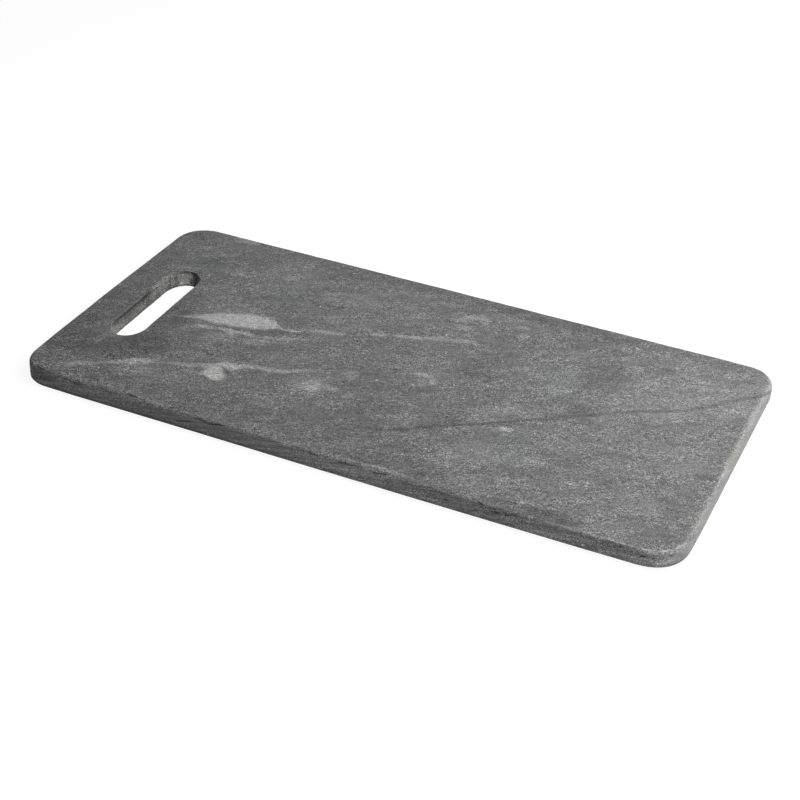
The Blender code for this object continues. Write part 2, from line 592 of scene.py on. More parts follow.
PATCHES = (
    # Cream blotch under the long vein
    *patches(PALE, (-94.6, -53.8, 6.2, 4.9, -50, 0.95), (-91, -56.8, 5, 4.3, -20, 0.92), tint=Tint.CREAM),
    # Haze round the veins of the slot end
    *patches(
        PALE,
        (-110, -18, 10, 4.2, 18, 0.2), (-90, -14.5, 8, 2.8, 15, 0.2), (-125, 21, 9, 6, 0, 0.1),
        (-134, -73, 12, 6, 20, 0.16), (-170, -44, 4, 5, 0, 0.18), (-109, -66, 9, 6, 20, 0.08),
    ),
    # Soft pale blotches across the middle
    *patches(
        PALE,
        (-38, -41.5, 6, 5.4, 20, 0.55), (-40, -42, 10, 9, 20, 0.18), (-28, -38.5, 6, 2, 10, 0.3),
        (-22, -20, 3.6, 4, 20, 0.3), (-14, -41, 3.4, 2.6, 20, 0.25), (15, -0.6, 4.8, 2, 0, 0.56),
        (22, -4, 4.6, 1.8, -55, 0.37), (20, -2, 9, 7, 0, 0.12), (17, -12.5, 3.6, 2.2, 20, 0.22),
        (14, 73.5, 7, 2.6, 40, 0.34), (23, 74, 5, 2.4, -60, 0.3), (9, 66.8, 6, 1.8, 10, 0.2),
        (16, 60, 4.4, 3, 10, 0.25), (47, 76, 4, 2.4, 20, 0.3), (51, 67, 3.4, 2.8, 60, 0.25),
        (72, 84, 6, 2.2, -50, 0.18), (70, 92, 7, 4, 0, 0.09), (78.5, -30.6, 4, 1.8, 15, 0.5),
        (73, -34.4, 2, 1.6, 15, 0.3), (68, -15.5, 15, 4.4, 27, 0.15), (90, 29, 8, 12, 0, 0.12),
        (25, -50, 6, 4, 25, 0.1), (103, -53, 6, 4, 20, 0.22), (70, -60, 14, 8, 25, 0.15),
        (135, 52, 6, 4, 20, 0.2), (178, 66, 3, 1.8, 20, 0.35), (174, -70, 7, 2.2, 30, 0.16),
        (36, -96.5, 12, 1.3, 0, 0.3), (148, 36, 26, 16, 30, 0.115), (170, -16, 20, 12, 0, 0.085),
        (186, 50, 12, 14, 0, 0.125), (160, 63, 16, 9, 20, 0.08),
    ),
    # Soft mottles towards the back of the slot end
    *patches(
        PALE,
        (-155, 96.5, 8, 2.6, 0, 0.35), (-107, 65, 6, 3.4, 25, 0.25), (-105, 85, 3.6, 3, 25, 0.25),
        (-138, 55, 9, 2.2, 12, 0.2), (-96, 49, 5, 3, -40, 0.2), (-74, 60, 7, 2.2, 25, 0.2),
        (-54, 60, 10, 9, 0, 0.12), (-14, 59, 5, 3, 30, 0.22), (-3, 83, 7, 2.2, 10, 0.2),
        (-106, 60, 18, 20, 0, 0.1),
    ),
    # Broad paler places
    *patches(
        PALE,
        (-36, 66, 36, 18, 8, 0.045), (-47, 36, 13, 13, 0, 0.065), (-118, 22, 18, 10, 0, 0.07),
        (-119, 4, 17, 12, 15, 0.12), (-64, -20, 16, 8, 20, 0.05), (131, 6, 10, 16, 0, 0.085),
        (112, -29, 11, 10, 10, 0.08), (92, -54, 9, 7, 0, 0.065), (154, -36, 18, 8, 0, 0.075),
        (168, -66, 12, 7, 10, 0.1), (76, -84, 10, 6, 0, 0.055), (-140, 90, 40, 8, 0, 0.03),
    ),
    # Dark bands under the lens and the long vein
    *patches(
        DARK,
        (-108, -5.4, 15, 1.8, 14, 0.2), (-81, 2.6, 8, 2.4, 15, 0.2), (-151.5, -4, 3, 13, 0, 0.3),
        (-165, -61, 25, 8, 30, 0.34), (-148, -45, 15, 14, 20, 0.4), (-152, -63, 9, 5, 30, 0.38),
        (-188, -62, 16, 14, 30, 0.33),
    ),
    # Dark smudges and marks
    *patches(
        DARK,
        (108, 8, 6, 7, 0, 0.26), (109, -4, 8, 6, 20, 0.18), (50, -4, 9, 8, 0, 0.09),
        (12, 64, 11, 1.2, 8, 0.24), (171.5, -37.5, 1.8, 2.4, 0, 0.4), (167, -33, 2.2, 1.4, 30, 0.35),
        (192, -24, 4.4, 2.2, 20, 0.35), (194, -71, 3, 2, 20, 0.3), (145, -52.5, 3.4, 1.8, 20, 0.25),
        (179, -55, 3, 2, 20, 0.22), (128, -95, 16, 4.6, 2, 0.42), (108, -95, 12, 3, 4, 0.3),
        (54.5, -91.5, 2.6, 2, 10, 0.4), (16, -94.5, 13, 2, 2, 0.3), (38, -85, 12, 5, 25, 0.16),
        (2, -64, 11, 4, 3, 0.2), (-2, -50, 16, 13, 20, 0.18), (-8, -22, 16, 11, 20, 0.09),
        (42, 22, 12, 14, 0, 0.16), (47, -35, 9, 6, 30, 0.22), (30, -72, 9, 7, 20, 0.14),
        (-22, 20, 20, 7, 20, 0.08), (0, 76, 9, 5, 0, 0.12), (140, 71.5, 3.4, 1.4, 10, 0.35),
        (114, 60, 6, 1.6, -8, 0.28), (106, 46, 4, 10, 0, 0.22), (171, 24, 4, 1.6, 20, 0.22),
        (193, 12, 5, 8, 0, 0.2), (193, 34, 4, 9, 0, 0.16), (188, -50, 12, 6, 0, 0.12),
        (186, -84, 10, 8, 20, 0.08), (-194, -67, 3.4, 1.8, 15, 0.3), (-149, -93, 4, 2.2, 0, 0.25),
        (-90, -95, 7, 2.4, 5, 0.3), (-57, -89, 8, 3, 10, 0.16), (-18, -86, 20, 7, 0, 0.1),
        (-160, 84, 22, 6, 10, 0.07), (145, -1, 5, 3.2, 20, 0.15), (165, -2, 3.2, 1.5, -20, 0.2),
        (166, 23, 3.4, 2, -50, 0.16), (163, -34, 1.6, 2.2, 0, 0.3), (134, -17, 12, 3, 8, 0.1),
        (146.6, 9.5, 8, 0.9, 14, 0.24), (152.8, 2.2, 8.5, 0.9, 19, 0.2),
    ),
    # Broad darker places, partly painted shade, round the slot end, along the back edge and on the front
    # wall
    *patches(
        DARK,
        (-192, -38, 9, 7, 0, 0.33), (-162, 54, 9, 11, -20, 0.11), (-188, 90, 9, 8, 0, 0.1),
        (-168, -98.6, 26, 1.8, 0, 0.2), (-186, -97.5, 5, 1.6, 0, 0.34),
        (-121.5, -97.7, 4.6, 0.8, -4, 0.45), (-95, -97.7, 5, 0.9, 2, 0.32), (-131, -36, 10, 7, 20, 0.17),
        (-150, -87, 13, 8, 10, 0.13), (-90, -85, 30, 8, 8, 0.15), (-71, -74, 12, 9, 20, 0.11),
        (-4, -70, 22, 8, 5, 0.13), (11, -21, 10, 7, 20, 0.12), (142, 96, 52, 7, 0, 0.18),
        (-185, -25, 34, 62, 0, 0.15), (-149, -16, 9, 32, 0, 0.26), (20, 97, 110, 6, 0, 0.16),
        (62, 96, 50, 8, 0, 0.29), (92, 84, 22, 14, 0, 0.17), (29, 93, 9, 5, 0, 0.34),
        (101, 93, 15, 5, 0, 0.35), (110, 50, 10, 16, 0, 0.15), (48, 62, 12, 12, 0, 0.1),
        (8, 84, 14, 7, 0, 0.12), (177, 93, 15, 6, 0, 0.27), (36, -87, 26, 8, 0, 0.17),
        (98, -108, 55, 6, 0, 0.22), (172, -106, 11, 4, 0, 0.27), (-182, -108, 11, 8, 0, 0.3),
        (206, 20, 6, 10, 0, 0.12),
    ),
    # Paler stretches of the front wall
    *patches(
        PALE,
        (186.5, -101.4, 2.4, 1.4, 0, 0.28), (-2, -108, 42, 6, 0, 0.07), (-47, -103, 11, 3, 0, 0.07),
    ),
    # Casts without a tone of their own
    *patches(
        PALE,
        (-160, 57, 7, 11, -20, 0), (-96, 40, 6, 12, 10, 0), (90, 30, 8, 14, 0, 0), (90, -46, 8, 12, 0, 0),
        tint=Tint.GREEN,
    ),
    *patches(PALE, (203, 1, 8, 17, 0, 0), (203, -62, 8, 9, 0, 0), tint=Tint.OLIVE),
)


@dataclass(frozen=True)
class StoneFinish:
    """Honed grey stone: bedded clouds, veins and a seam, salt-and-pepper grain, and the slab's tone per
    vertex, which holds painted light and painted shade.

    Lumps are in millimetres. A range holds two limits of noise and the factors given there.
    """

    base: float = 0.1545
    pale: float = 0.505
    contrast: float = 3.6
    grain_gain: float = 1.6
    thread_gain: float = 0.95
    pale_calm: float = 0.5
    bright_gain: float = 0.6
    pit_gain: float = 0.4
    slot_olive: float = 0.45
    roughness: float = 0.64
    polish_gain: float = 0.24
    specular: float = 0.16
    saw_gain: float = 2.0
    bump_strength: float = 0.35
    bump_depth: float = 0.12 * MM
    warps: tuple[tuple[float, float, tuple[int, int]], ...] = ((16.0, 4.0, (3, 63)), (3.2, 1.4, (4, 64)))
    clouds: tuple[tuple[Lumps, float], ...] = (
        (Lumps((52.0, 13.0, 1.0), 11, STRIKE, 3.0, 0.6), 0.48),
        (Lumps((24.0, 3.0, 1.0), 12, STRIKE, 2.0, 0.6), 0.56),
        (Lumps((7.0, 4.0, 1.0), 13, STRIKE, 3.0, 0.6), 0.6),
    )
    crystal: Lumps = Lumps((0.46, 0.37, 0.38), 5, STRIKE)
    dust: Lumps = Lumps((0.26, 0.245, 0.245), 21, STRIKE, 1.0)
    thread: Lumps = Lumps((3.6, 0.42, 0.42), 23, STRIKE, 1.0)
    patchy: Lumps = Lumps((16.0, 9.0, 9.0), 22, STRIKE)
    broken: Lumps = Lumps((3.4, 2.4, 1.0), 31, STRIKE, 3.0, 0.65)
    break_range: tuple[float, ...] = (0.3, 0.66, 0.6, 1.1)
    bright: tuple[Lumps, float] = (Lumps((2.6, 2.6, 2.6), 7), 0.955)
    pit: tuple[Lumps, float] = (Lumps((3.4, 3.4, 3.4), 9), 0.94)
    speck_range: tuple[float, ...] = (0.32, 0.12)
    streak: Lumps = Lumps((1.5, 1.5, 14.0), 41, detail=3.0, roughness=0.7)
    streak_range: tuple[float, ...] = (0.32, 0.7, 0.75, 1.5)
    lamina: Lumps = Lumps((34.0, 2.6, 1.0), 43, STRIKE)
    lamina_range: tuple[float, ...] = (0.3, 0.7, 0.76, 1.24)
    polish: Lumps = Lumps((9.0, 9.0, 9.0), 51, detail=3.0)
    tooth: Lumps = Lumps((0.7, 0.7, 0.7), 61, detail=3.0, roughness=0.6)
    saw: Lumps = Lumps((9.0, 1.6, 1.6), 62, detail=3.0, roughness=0.6)

    def bedding(self, graph: Graph, place: Socket, top: float) -> Bed:
        """Return where the layer that a place lies in comes out on the working face.

        Each millimetre below that face moves the place against the rise of the layers, by the
        dip. A cloudy warp of a few millimetres bends the layers.

        Args:
            graph: Where the expressions go.
            place: The place in millimetres.
            top: Height of the working face in millimetres.

        Returns:
            The place on the bedding.
        """
        *plan, z = graph.separate(place)
        depth = graph.math("SUBTRACT", z, top)
        plan = [graph.math("MULTIPLY_ADD", depth, DIP * lean, side) for side, lean in zip(plan, ACROSS)]
        for size, reach, seeds in self.warps:
            flat = graph.combine(*plan, 0.0)
            pushes = [graph.noise(flat, Lumps((size,) * 3, seed)) for seed in seeds]
            plan = [graph.swayed(side, push, NOISE_MIDDLE, reach) for side, push in zip(plan, pushes)]
        return Bed(graph, *plan, graph.combine(*plan, 0.0))

    def mottle(self, bed: Bed) -> Value:
        """Return the stone's broad mottle as a factor round 1: long clouds, thin laminae and blotches.

        Args:
            bed: The place on the bedding.

        Returns:
            The factor.
        """
        tone: Value = 1.0
        for lumps, gain in self.clouds:
            cloud = bed.graph.noise(bed.layer, lumps)
            tone = bed.graph.swayed(tone, cloud, NOISE_MIDDLE, gain)
        return tone

    def speckle(self, graph: Graph, place: Socket, calm: Socket) -> Socket:
        """Return the grain as a factor round 1: a random tone per crystal, finer dust and thin threads.

        Each tone is a power of the contrast, so that pale crystals stand out more than dark ones.

        Args:
            graph: Where the expressions go.
            place: The place in millimetres.
            calm: Factor on how much the grain shows.

        Returns:
            The factor.
        """
        crystal, _ = graph.cells(place, self.crystal)
        dust = graph.noise(place, self.dust)
        thread = graph.noise(place, self.thread)
        spread = graph.math("SUBTRACT", graph.math("ADD", crystal, dust), 1.0)
        spread = graph.swayed(spread, thread, NOISE_MIDDLE, self.thread_gain)
        patchy = graph.ramp(graph.noise(place, self.patchy), *self.break_range)
        shown = graph.product(patchy, calm, self.grain_gain)
        return graph.math("POWER", self.contrast, graph.product(spread, shown))

    def specks(self, graph: Graph, place: Socket, lumps: Lumps, rarity: float) -> Value:
        """Return a mask of the middles of rare crystals.

        Args:
            graph: Where the expressions go.
            place: The place in millimetres.
            lumps: The crystals' sizes.
            rarity: Share of the crystals that is left out.

        Returns:
            The mask.
        """
        number, distance = graph.cells(place, lumps)
        chosen = graph.math("GREATER_THAN", number, rarity)
        return graph.product(graph.ramp(distance, *self.speck_range), chosen)

    def markings(self, bed: Bed) -> dict[Shade, Value]:
        """Return the strongest pale marking at a place, broken up by mottle, and the strongest dark one.

        Args:
            bed: The place on the bedding.

        Returns:
            The strength of each shade.
        """
        graph = bed.graph
        found: dict[Shade, Value] = {PALE: 0.0, DARK: 0.0}
        for vein in VEINS:
            found[vein.shade] = graph.math("MAXIMUM", found[vein.shade], vein.mask(bed))
        for patch in PATCHES:
            if patch.strength > 0.0:
                mask = patch.mask(bed, patch.strength)
                found[patch.shade] = graph.math("MAXIMUM", found[patch.shade], mask)
        veil = graph.ramp(graph.noise(bed.layer, self.broken), *self.break_range)
        return {**found, PALE: graph.product(found[PALE], veil)}

    def cast(self, bed: Bed, slot_wall: Socket) -> Socket:
        """Return the stone's colour cast: grey, with patches of the other tints, and olive in the slot.

        Args:
            bed: The place on the bedding.
            slot_wall: How much of a place is wall of the hand slot.

        Returns:
            The cast.
        """
        graph = bed.graph
        colour: object = (*Tint.GREY.value, 1.0)
        for patch in PATCHES:
            if patch.tint is not Tint.GREY:
                colour = graph.mix_colour(patch.mask(bed, 1.0), colour, (*patch.tint.value, 1.0))
        return graph.mix_colour(graph.product(slot_wall, self.slot_olive), colour, (*Tint.OLIVE.value, 1.0))

    def build(self, top: float) -> bpy.types.Material:
        """Build the material.

        Args:
            top: Height of the working face.

        Returns:
            The material, which reads the slab's attributes.
        """
        material, graph, shader = new_material("honed_stone")
        place = graph.place()
        bed = self.bedding(graph, place, top / MM)
        slot_wall, wall = graph.attribute("slot_wall"), graph.attribute("wall")
        marks = self.markings(bed)
        calm = graph.math("MULTIPLY_ADD", marks[PALE], -self.pale_calm, graph.attribute("grain"))
        grain = self.speckle(graph, place, calm)
        bright, pit = (self.specks(graph, place, *kind) for kind in (self.bright, self.pit))

        # Tone: base, clouds, then the markings, then the slab's tone per vertex, with its painted light and
        # painted shade
        tone = graph.product(self.mottle(bed), self.base)
        to_pale = graph.math("SUBTRACT", self.pale, tone)
        pale = graph.math("MAXIMUM", marks[PALE], graph.product(bright, self.bright_gain))
        tone = graph.math("MULTIPLY_ADD", to_pale, pale, tone)
        dark = graph.math("MAXIMUM", marks[DARK], graph.product(pit, self.pit_gain))
        tone = graph.product(tone, graph.math("SUBTRACT", 1.0, dark))
        streaked = graph.ramp(graph.noise(place, self.streak), *self.streak_range)
        tone = graph.product(tone, graph.swayed(1.0, streaked, 1.0, slot_wall), graph.attribute("tone"))
        lamina = graph.ramp(graph.noise(bed.layer, self.lamina), *self.lamina_range)
        tone = graph.product(tone, graph.swayed(1.0, lamina, 1.0, wall), grain)

        graph.feed(shader.inputs["Base Color"], graph.scaled(self.cast(bed, slot_wall), tone))
        polish = graph.noise(place, self.polish)
        rough = graph.swayed(self.roughness, polish, NOISE_MIDDLE, self.polish_gain)
        graph.feed(shader.inputs["Roughness"], rough)
        shader.inputs["Specular IOR Level"].default_value = self.specular

        # Fine tooth of the honed face, coarser on the sawn walls
        tooth, saw = graph.noise(place, self.tooth), graph.noise(place, self.saw)
        height = graph.math("MULTIPLY_ADD", graph.product(saw, wall), self.saw_gain, tooth)
        graph.feed(shader.inputs["Normal"], graph.bump(height, self.bump_strength, self.bump_depth))
        return material


@dataclass(frozen=True)
class RubberFinish:
    """Matte black moulded rubber with a faint bloom and dust in its tooth."""

    colour: tuple[float, float, float] = (0.020, 0.020, 0.021)
    dusty: tuple[float, float, float] = (0.052, 0.050, 0.047)
    bloom: Lumps = Lumps((2.2, 2.2, 2.2), 71, detail=4.0, roughness=0.65)
    bloom_range: tuple[float, float] = (0.42, 0.75)
    roughness: float = 0.6
    bloom_roughness: float = 0.2
    tooth: Lumps = Lumps((0.35, 0.35, 0.35), 72)
    bump_strength: float = 0.3
    bump_depth: float = 0.05 * MM

    def build(self) -> bpy.types.Material:
        """Build the material.

        Returns:
            The material.
        """
        material, graph, shader = new_material("foot_rubber")
        place = graph.place()
        bloom = graph.ramp(graph.noise(place, self.bloom), *self.bloom_range)
        colour = graph.mix_colour(bloom, (*self.colour, 1.0), (*self.dusty, 1.0))
        graph.feed(shader.inputs["Base Color"], colour)
        rough = graph.math("MULTIPLY_ADD", bloom, self.bloom_roughness, self.roughness)
        graph.feed(shader.inputs["Roughness"], rough)
        bump = graph.bump(graph.noise(place, self.tooth), self.bump_strength, self.bump_depth)
        graph.feed(shader.inputs["Normal"], bump)
        return material


@dataclass(frozen=True)
class AdhesiveFinish:
    """Milky acrylic adhesive film, a little uneven where it has wetted the stone."""

    colour: tuple[float, float, float] = (0.62, 0.60, 0.55)
    wetted: tuple[float, float, float] = (0.44, 0.43, 0.40)
    wetting: Lumps = Lumps((1.6, 1.6, 1.6), 81, detail=3.0)
    wet_range: tuple[float, float] = (0.4, 0.62)
    roughness: float = 0.45
    wet_roughness: float = -0.2

    def build(self) -> bpy.types.Material:
        """Build the material.

        Returns:
            The material.
        """
        material, graph, shader = new_material("adhesive_film")
        wet = graph.ramp(graph.noise(graph.place(), self.wetting), *self.wet_range)
        colour = graph.mix_colour(wet, (*self.colour, 1.0), (*self.wetted, 1.0))
        graph.feed(shader.inputs["Base Color"], colour)
        rough = graph.math("MULTIPLY_ADD", wet, self.wet_roughness, self.roughness)
        graph.feed(shader.inputs["Roughness"], rough)
        return material


# Stone slab


class Region(Enum):
    """Stretches of the slab's skin, in the order in which its levels cross them."""

    OUTER_WALL = "outer wall"
    WORKING_FACE = "working face"
    SLOT_WALL = "slot wall"
    UNDERSIDE = "underside"


@dataclass(frozen=True)
class Outline:
    """Stations round a closed outline: points, directions out of the stone, distances along it."""

    points: Array
    normals: Array
    lengths: Array
    lap: float


@dataclass(frozen=True)
class Skin:
    """The slab's ideal skin: a grid of levels by stations that closes both ways, and its regions."""

    outer: Outline
    slot: Outline
    rows: dict[Region, slice]
    places: Array
    top: float

    @cached_property
    def below(self) -> Array:
        """How far each place lies below the working face."""
        return self.top - self.places[..., 2]

    @cached_property
    def directions(self) -> Array:
        """Directions out of the stone: the cross product of the grid's two central differences.

        Returns:
            Unit vectors, one per place.
        """
        round_it = np.roll(self.places, -1, axis=1) - np.roll(self.places, 1, axis=1)
        over_it = np.roll(self.places, -1, axis=0) - np.roll(self.places, 1, axis=0)
        normals = np.cross(round_it, over_it)
        return normals / np.linalg.norm(normals, axis=-1, keepdims=True)

    @cached_property
    def upright(self) -> Array:
        """How upright each place is: the square of the level part of its direction."""
        return np.hypot(self.directions[..., 0], self.directions[..., 1]) ** 2

    @cached_property
    def arc(self) -> Array:
        """Distances over the section from the middle of the upper outer edge, up being positive.

        Returns:
            Distances, one per place.
        """
        steps = np.linalg.norm(np.diff(self.places, axis=0), axis=-1)
        climbed = np.concatenate([np.zeros((1, steps.shape[1])), np.cumsum(steps, axis=0)])
        return climbed - climbed[self.rows[Region.OUTER_WALL].stop - OUTER_LEVELS[2] // 2]

    def on(self, region: Region) -> Array:
        """Return a mask of a region.

        Args:
            region: The region.

        Returns:
            1 at its places and 0 at the others.
        """
        mask = np.zeros(self.places.shape[:2])
        mask[self.rows[region]] = 1.0
        return mask


@dataclass(frozen=True)
class Notch:
    """A flake broken out of the front upper edge along the bedding, in millimetres.

    It runs from start to end along X. Its middle lies at an arc, measured over the section
    from the middle of the rounded edge, up onto the working face or down the wall.
    """

    start: float
    end: float
    arc_start: float
    arc_end: float
    depth: float
    height: float
    narrowest: float = 0.4
    floor: float = 0.35
    steepness: float = 1.25
    shift: float = 0.3
    shift_period: float = 2.6
    raggedness: float = 0.25
    ragged_period: float = 1.7

    def cut(self, x: Array, arc: Array) -> Array:
        """Return how deep the flake is: a ragged boat that is steeper on its upper side.

        The length fades as the root of a parabola, the height as a cubic ease, and random
        curves along X shift its middle and vary its depth.

        Args:
            x: Places along the board, in millimetres.
            arc: Places over the section, in millimetres.

        Returns:
            Depths in millimetres, 0 off the flake.
        """
        run = (x - self.start) / (self.end - self.start)
        taper = np.sqrt(np.clip(4.0 * run * (1.0 - run), 0.0, 1.0))
        seed = abs(round(NOTCH_SEED + self.start))
        shift = Ripple(self.shift_period, seed + 1, self.shift).at(x, NOTCH_LAP)
        middle = blend(self.arc_start, self.arc_end, run) + shift
        across = (arc - middle) / (0.5 * self.height * blend(self.narrowest, 1.0, taper))
        profile = smoothstep(1.0, self.floor, np.where(across > 0.0, self.steepness * across, -across))
        ragged = Ripple(self.ragged_period, seed + 2, self.raggedness).factor(x, NOTCH_LAP)
        return self.depth * taper * profile * ragged


NOTCHES = tuple(Notch(*row) for row in (
    (-189, -180, 1.6, 1.2, 0.5, 1.6), (-171, -150, -0.7, -0.3, 0.45, 1),
    (-162, -152, -1.7, -1.3, 0.4, 0.9), (-146, -144, 1, 1, 0.4, 0.9), (-141, -133, -0.5, -0.6, 0.55, 0.9),
    (-126, -117.5, 2.3, 1.2, 0.7, 1.1), (-109, -107, 1, 0.9, 0.35, 0.8), (-99, -93, 1.5, 1.7, 0.35, 1.3),
    (-93, -81.5, -6.3, -4.1, 0.7, 1.1), (-85.5, -82.5, 0, -0.2, 0.4, 0.8),
    (-81.5, -70, -0.8, -0.7, 0.75, 1), (-72.5, -61.5, -2, 0, 0.85, 1.2),
    (-41, -37.5, -0.6, -0.4, 0.5, 0.9), (-9, -3, -0.7, -0.9, 0.6, 1), (0, 2.5, -0.8, -0.7, 0.4, 0.8),
    (9, 19, -1, -0.8, 0.75, 1), (29.5, 39, -1.7, 0.1, 0.9, 1.3), (36, 37.8, 1.1, 1.2, 0.4, 0.9),
    (71, 74.2, -5.2, -4.7, 0.85, 1.4), (74.3, 76, 0.8, 0.7, 0.35, 0.8), (90.5, 94, -0.2, -1, 0.75, 1.5),
    (98, 103.5, -3.5, -3.1, 0.65, 1.2), (105.5, 108.5, -3.1, -3.1, 0.7, 1.3),
    (179, 182.4, -4.5, -4.2, 0.85, 1.6), (185.4, 187.4, -4.5, -4.3, 0.7, 1.3),
    (190, 191.4, -4.6, -4.4, 0.5, 1.2), (193, 195.4, -3.2, -2, 0.5, 1.2),
))

# How far hand grinding left the outline out (+) or in (-), as x, y and out in millimetres
GRINDING = (
    (-165, -100, -0.05), (-90, -100, 0.0), (-10, -100, 0.3), (70, -100, 0.33), (150, -100, 0.0),
    (179, -100, -0.35), (193.5, -93, 0.65), (200, -78, 0.05), (200, -60, 0.45), (200, 80, 0.33),
    (197, 92, 0.8), (183, 100, 0.35), (140, 100, 0.5), (100, 100, 0.25), (30, 100, 0.25), (-10, 100, 0.6),
    (-50, 100, 0.6), (-100, 100, 0.22), (-150, 100, 0.33), (-175, 100, 0.15), (-194, 94, 0.55),
    (-199.5, 85, 0.0), (-200, 35, 0.0), (-200, 5, 0.6), (-200, -60, 0.15), (-200, -82, -0.35),
    (-193, -95, 0.05), (-180, -100, -0.35),
)


@dataclass(frozen=True)
class Chips:
    """Small chips that dot the upper outer edge at random, with ranges of their sizes in millimetres."""

    count: int = 90
    seed: int = 17
    spread: float = 0.9
    half_long: Span = (0.5, 1.5)
    half_high: Span = (0.35, 0.7)
    depth: Span = (0.08, 0.3)
    worn_at_plain_end: float = 0.75

    def cut(self, skin: Skin) -> Array:
        """Return how deep the chips are, as the deepest of all.

        Each chip is a bell in the distance round the outline and the arc over the section.

        Args:
            skin: The ideal skin.

        Returns:
            Depths, 0 off the chips.
        """
        outer, random = skin.outer, np.random.default_rng(self.seed)
        first = skin.rows[Region.OUTER_WALL].start + OUTER_LEVELS[0] + 1
        band = slice(first, skin.rows[Region.WORKING_FACE].start + len(NEAR_EDGE))
        depth = np.zeros(skin.arc.shape)
        for _ in range(self.count):
            along = random.uniform(0.0, outer.lap)
            middle = random.normal(0.0, self.spread) * MM
            half_long = random.uniform(*self.half_long) * MM
            half_high = random.uniform(*self.half_high) * MM
            deep = random.uniform(*self.depth) * MM
            away = (outer.lengths - along + outer.lap / 2) % outer.lap - outer.lap / 2
            above = (skin.arc[band] - middle) / half_high
            chip = np.exp(-((away / half_long) ** 2)[None, :] - above**2)
            depth[band] = np.maximum(depth[band], deep * chip)
        return depth * (1.0 - self.worn_at_plain_end * np.maximum(outer.normals[:, 0], 0.0) ** 2)


@dataclass(frozen=True)
class SlotLightAndShade:
    """Painted shade and painted light on the slot's wall, as shares of the tone.

    A span is where an ease starts and ends: along Y, below the working face, or as a part of the
    direction in which the wall faces.
    """

    outer_side: Span = (0.1, 0.8)
    back_end: Span = (-0.35, -0.85)
    # Painted shade under the upper edge of the outer side, thinning downwards, and a darker smear
    top_shade: float = 0.5
    top_shade_y: tuple[Span, Span] = ((-42 * MM, -30 * MM), (20 * MM, 0.0))
    top_shade_below: tuple[Span, Span] = ((-0.2 * MM, 0.5 * MM), (7.5 * MM, 1.5 * MM))
    smear: float = 0.22
    smear_bell: Span = (6 * MM, 9 * MM)
    # Painted shade as thin dark lines along the lower edge and the upper edge of the back end
    lower_line: float = 0.55
    lower_line_back: float = 0.35
    lower_line_below: Span = (9.4 * MM, 10.4 * MM)
    upper_line: float = 0.45
    upper_line_below: tuple[Span, Span] = ((0.1 * MM, 0.5 * MM), (2.0 * MM, 1.0 * MM))
    # Painted shade where the back end turns to the inner side
    turned: float = 0.6
    turned_east: Span = (0.1, -0.45)
    turned_north: Span = (0.0, -0.3)
    # Painted light that makes the back end of the slot paler
    cut: float = 1.5
    back_light_below: Span = (0.9 * MM, 2.6 * MM)
    darkest: float = -0.92

    def change(self, skin: Skin) -> Array:
        """Return how much lighter (+) or darker (-) the slot's wall is than the stone round it.

        Painted shade lies under the sharp upper edge of the outer side and thins out downwards, with a
        smear near the middle. A thin line of painted shade follows the upper edge of the back end and the
        lower edge. Painted light makes the back end paler, and painted shade darkens it where it
        turns to the inner side.

        Args:
            skin: The ideal skin.

        Returns:
            The change, as a share of the tone.
        """
        y, below = skin.places[..., 1], skin.below
        east, north = skin.slot.normals.T[:, None, :]
        # Painted shade under the upper edge, in thin lines and at the turn, and painted light on the back
        # end
        smear = self.smear * bell(y, *self.smear_bell)
        top_shade = self.top_shade * between(below, *self.top_shade_below) * between(y, *self.top_shade_y) + smear
        back_end = smoothstep(*self.back_end, north)
        turned = smoothstep(*self.turned_east, east) * smoothstep(*self.turned_north, north)
        cut = back_end * smoothstep(*self.back_light_below, below) * (1.0 - turned)
        lower = self.lower_line + self.lower_line_back * back_end + cut
        upper = self.upper_line * between(below, *self.upper_line_below)
        lines = smoothstep(*self.lower_line_below, below) * lower + upper * np.maximum(back_end, turned)
        change = self.cut * cut - top_shade * smoothstep(*self.outer_side, east) - lines - self.turned * turned
        return np.maximum(change, self.darkest)


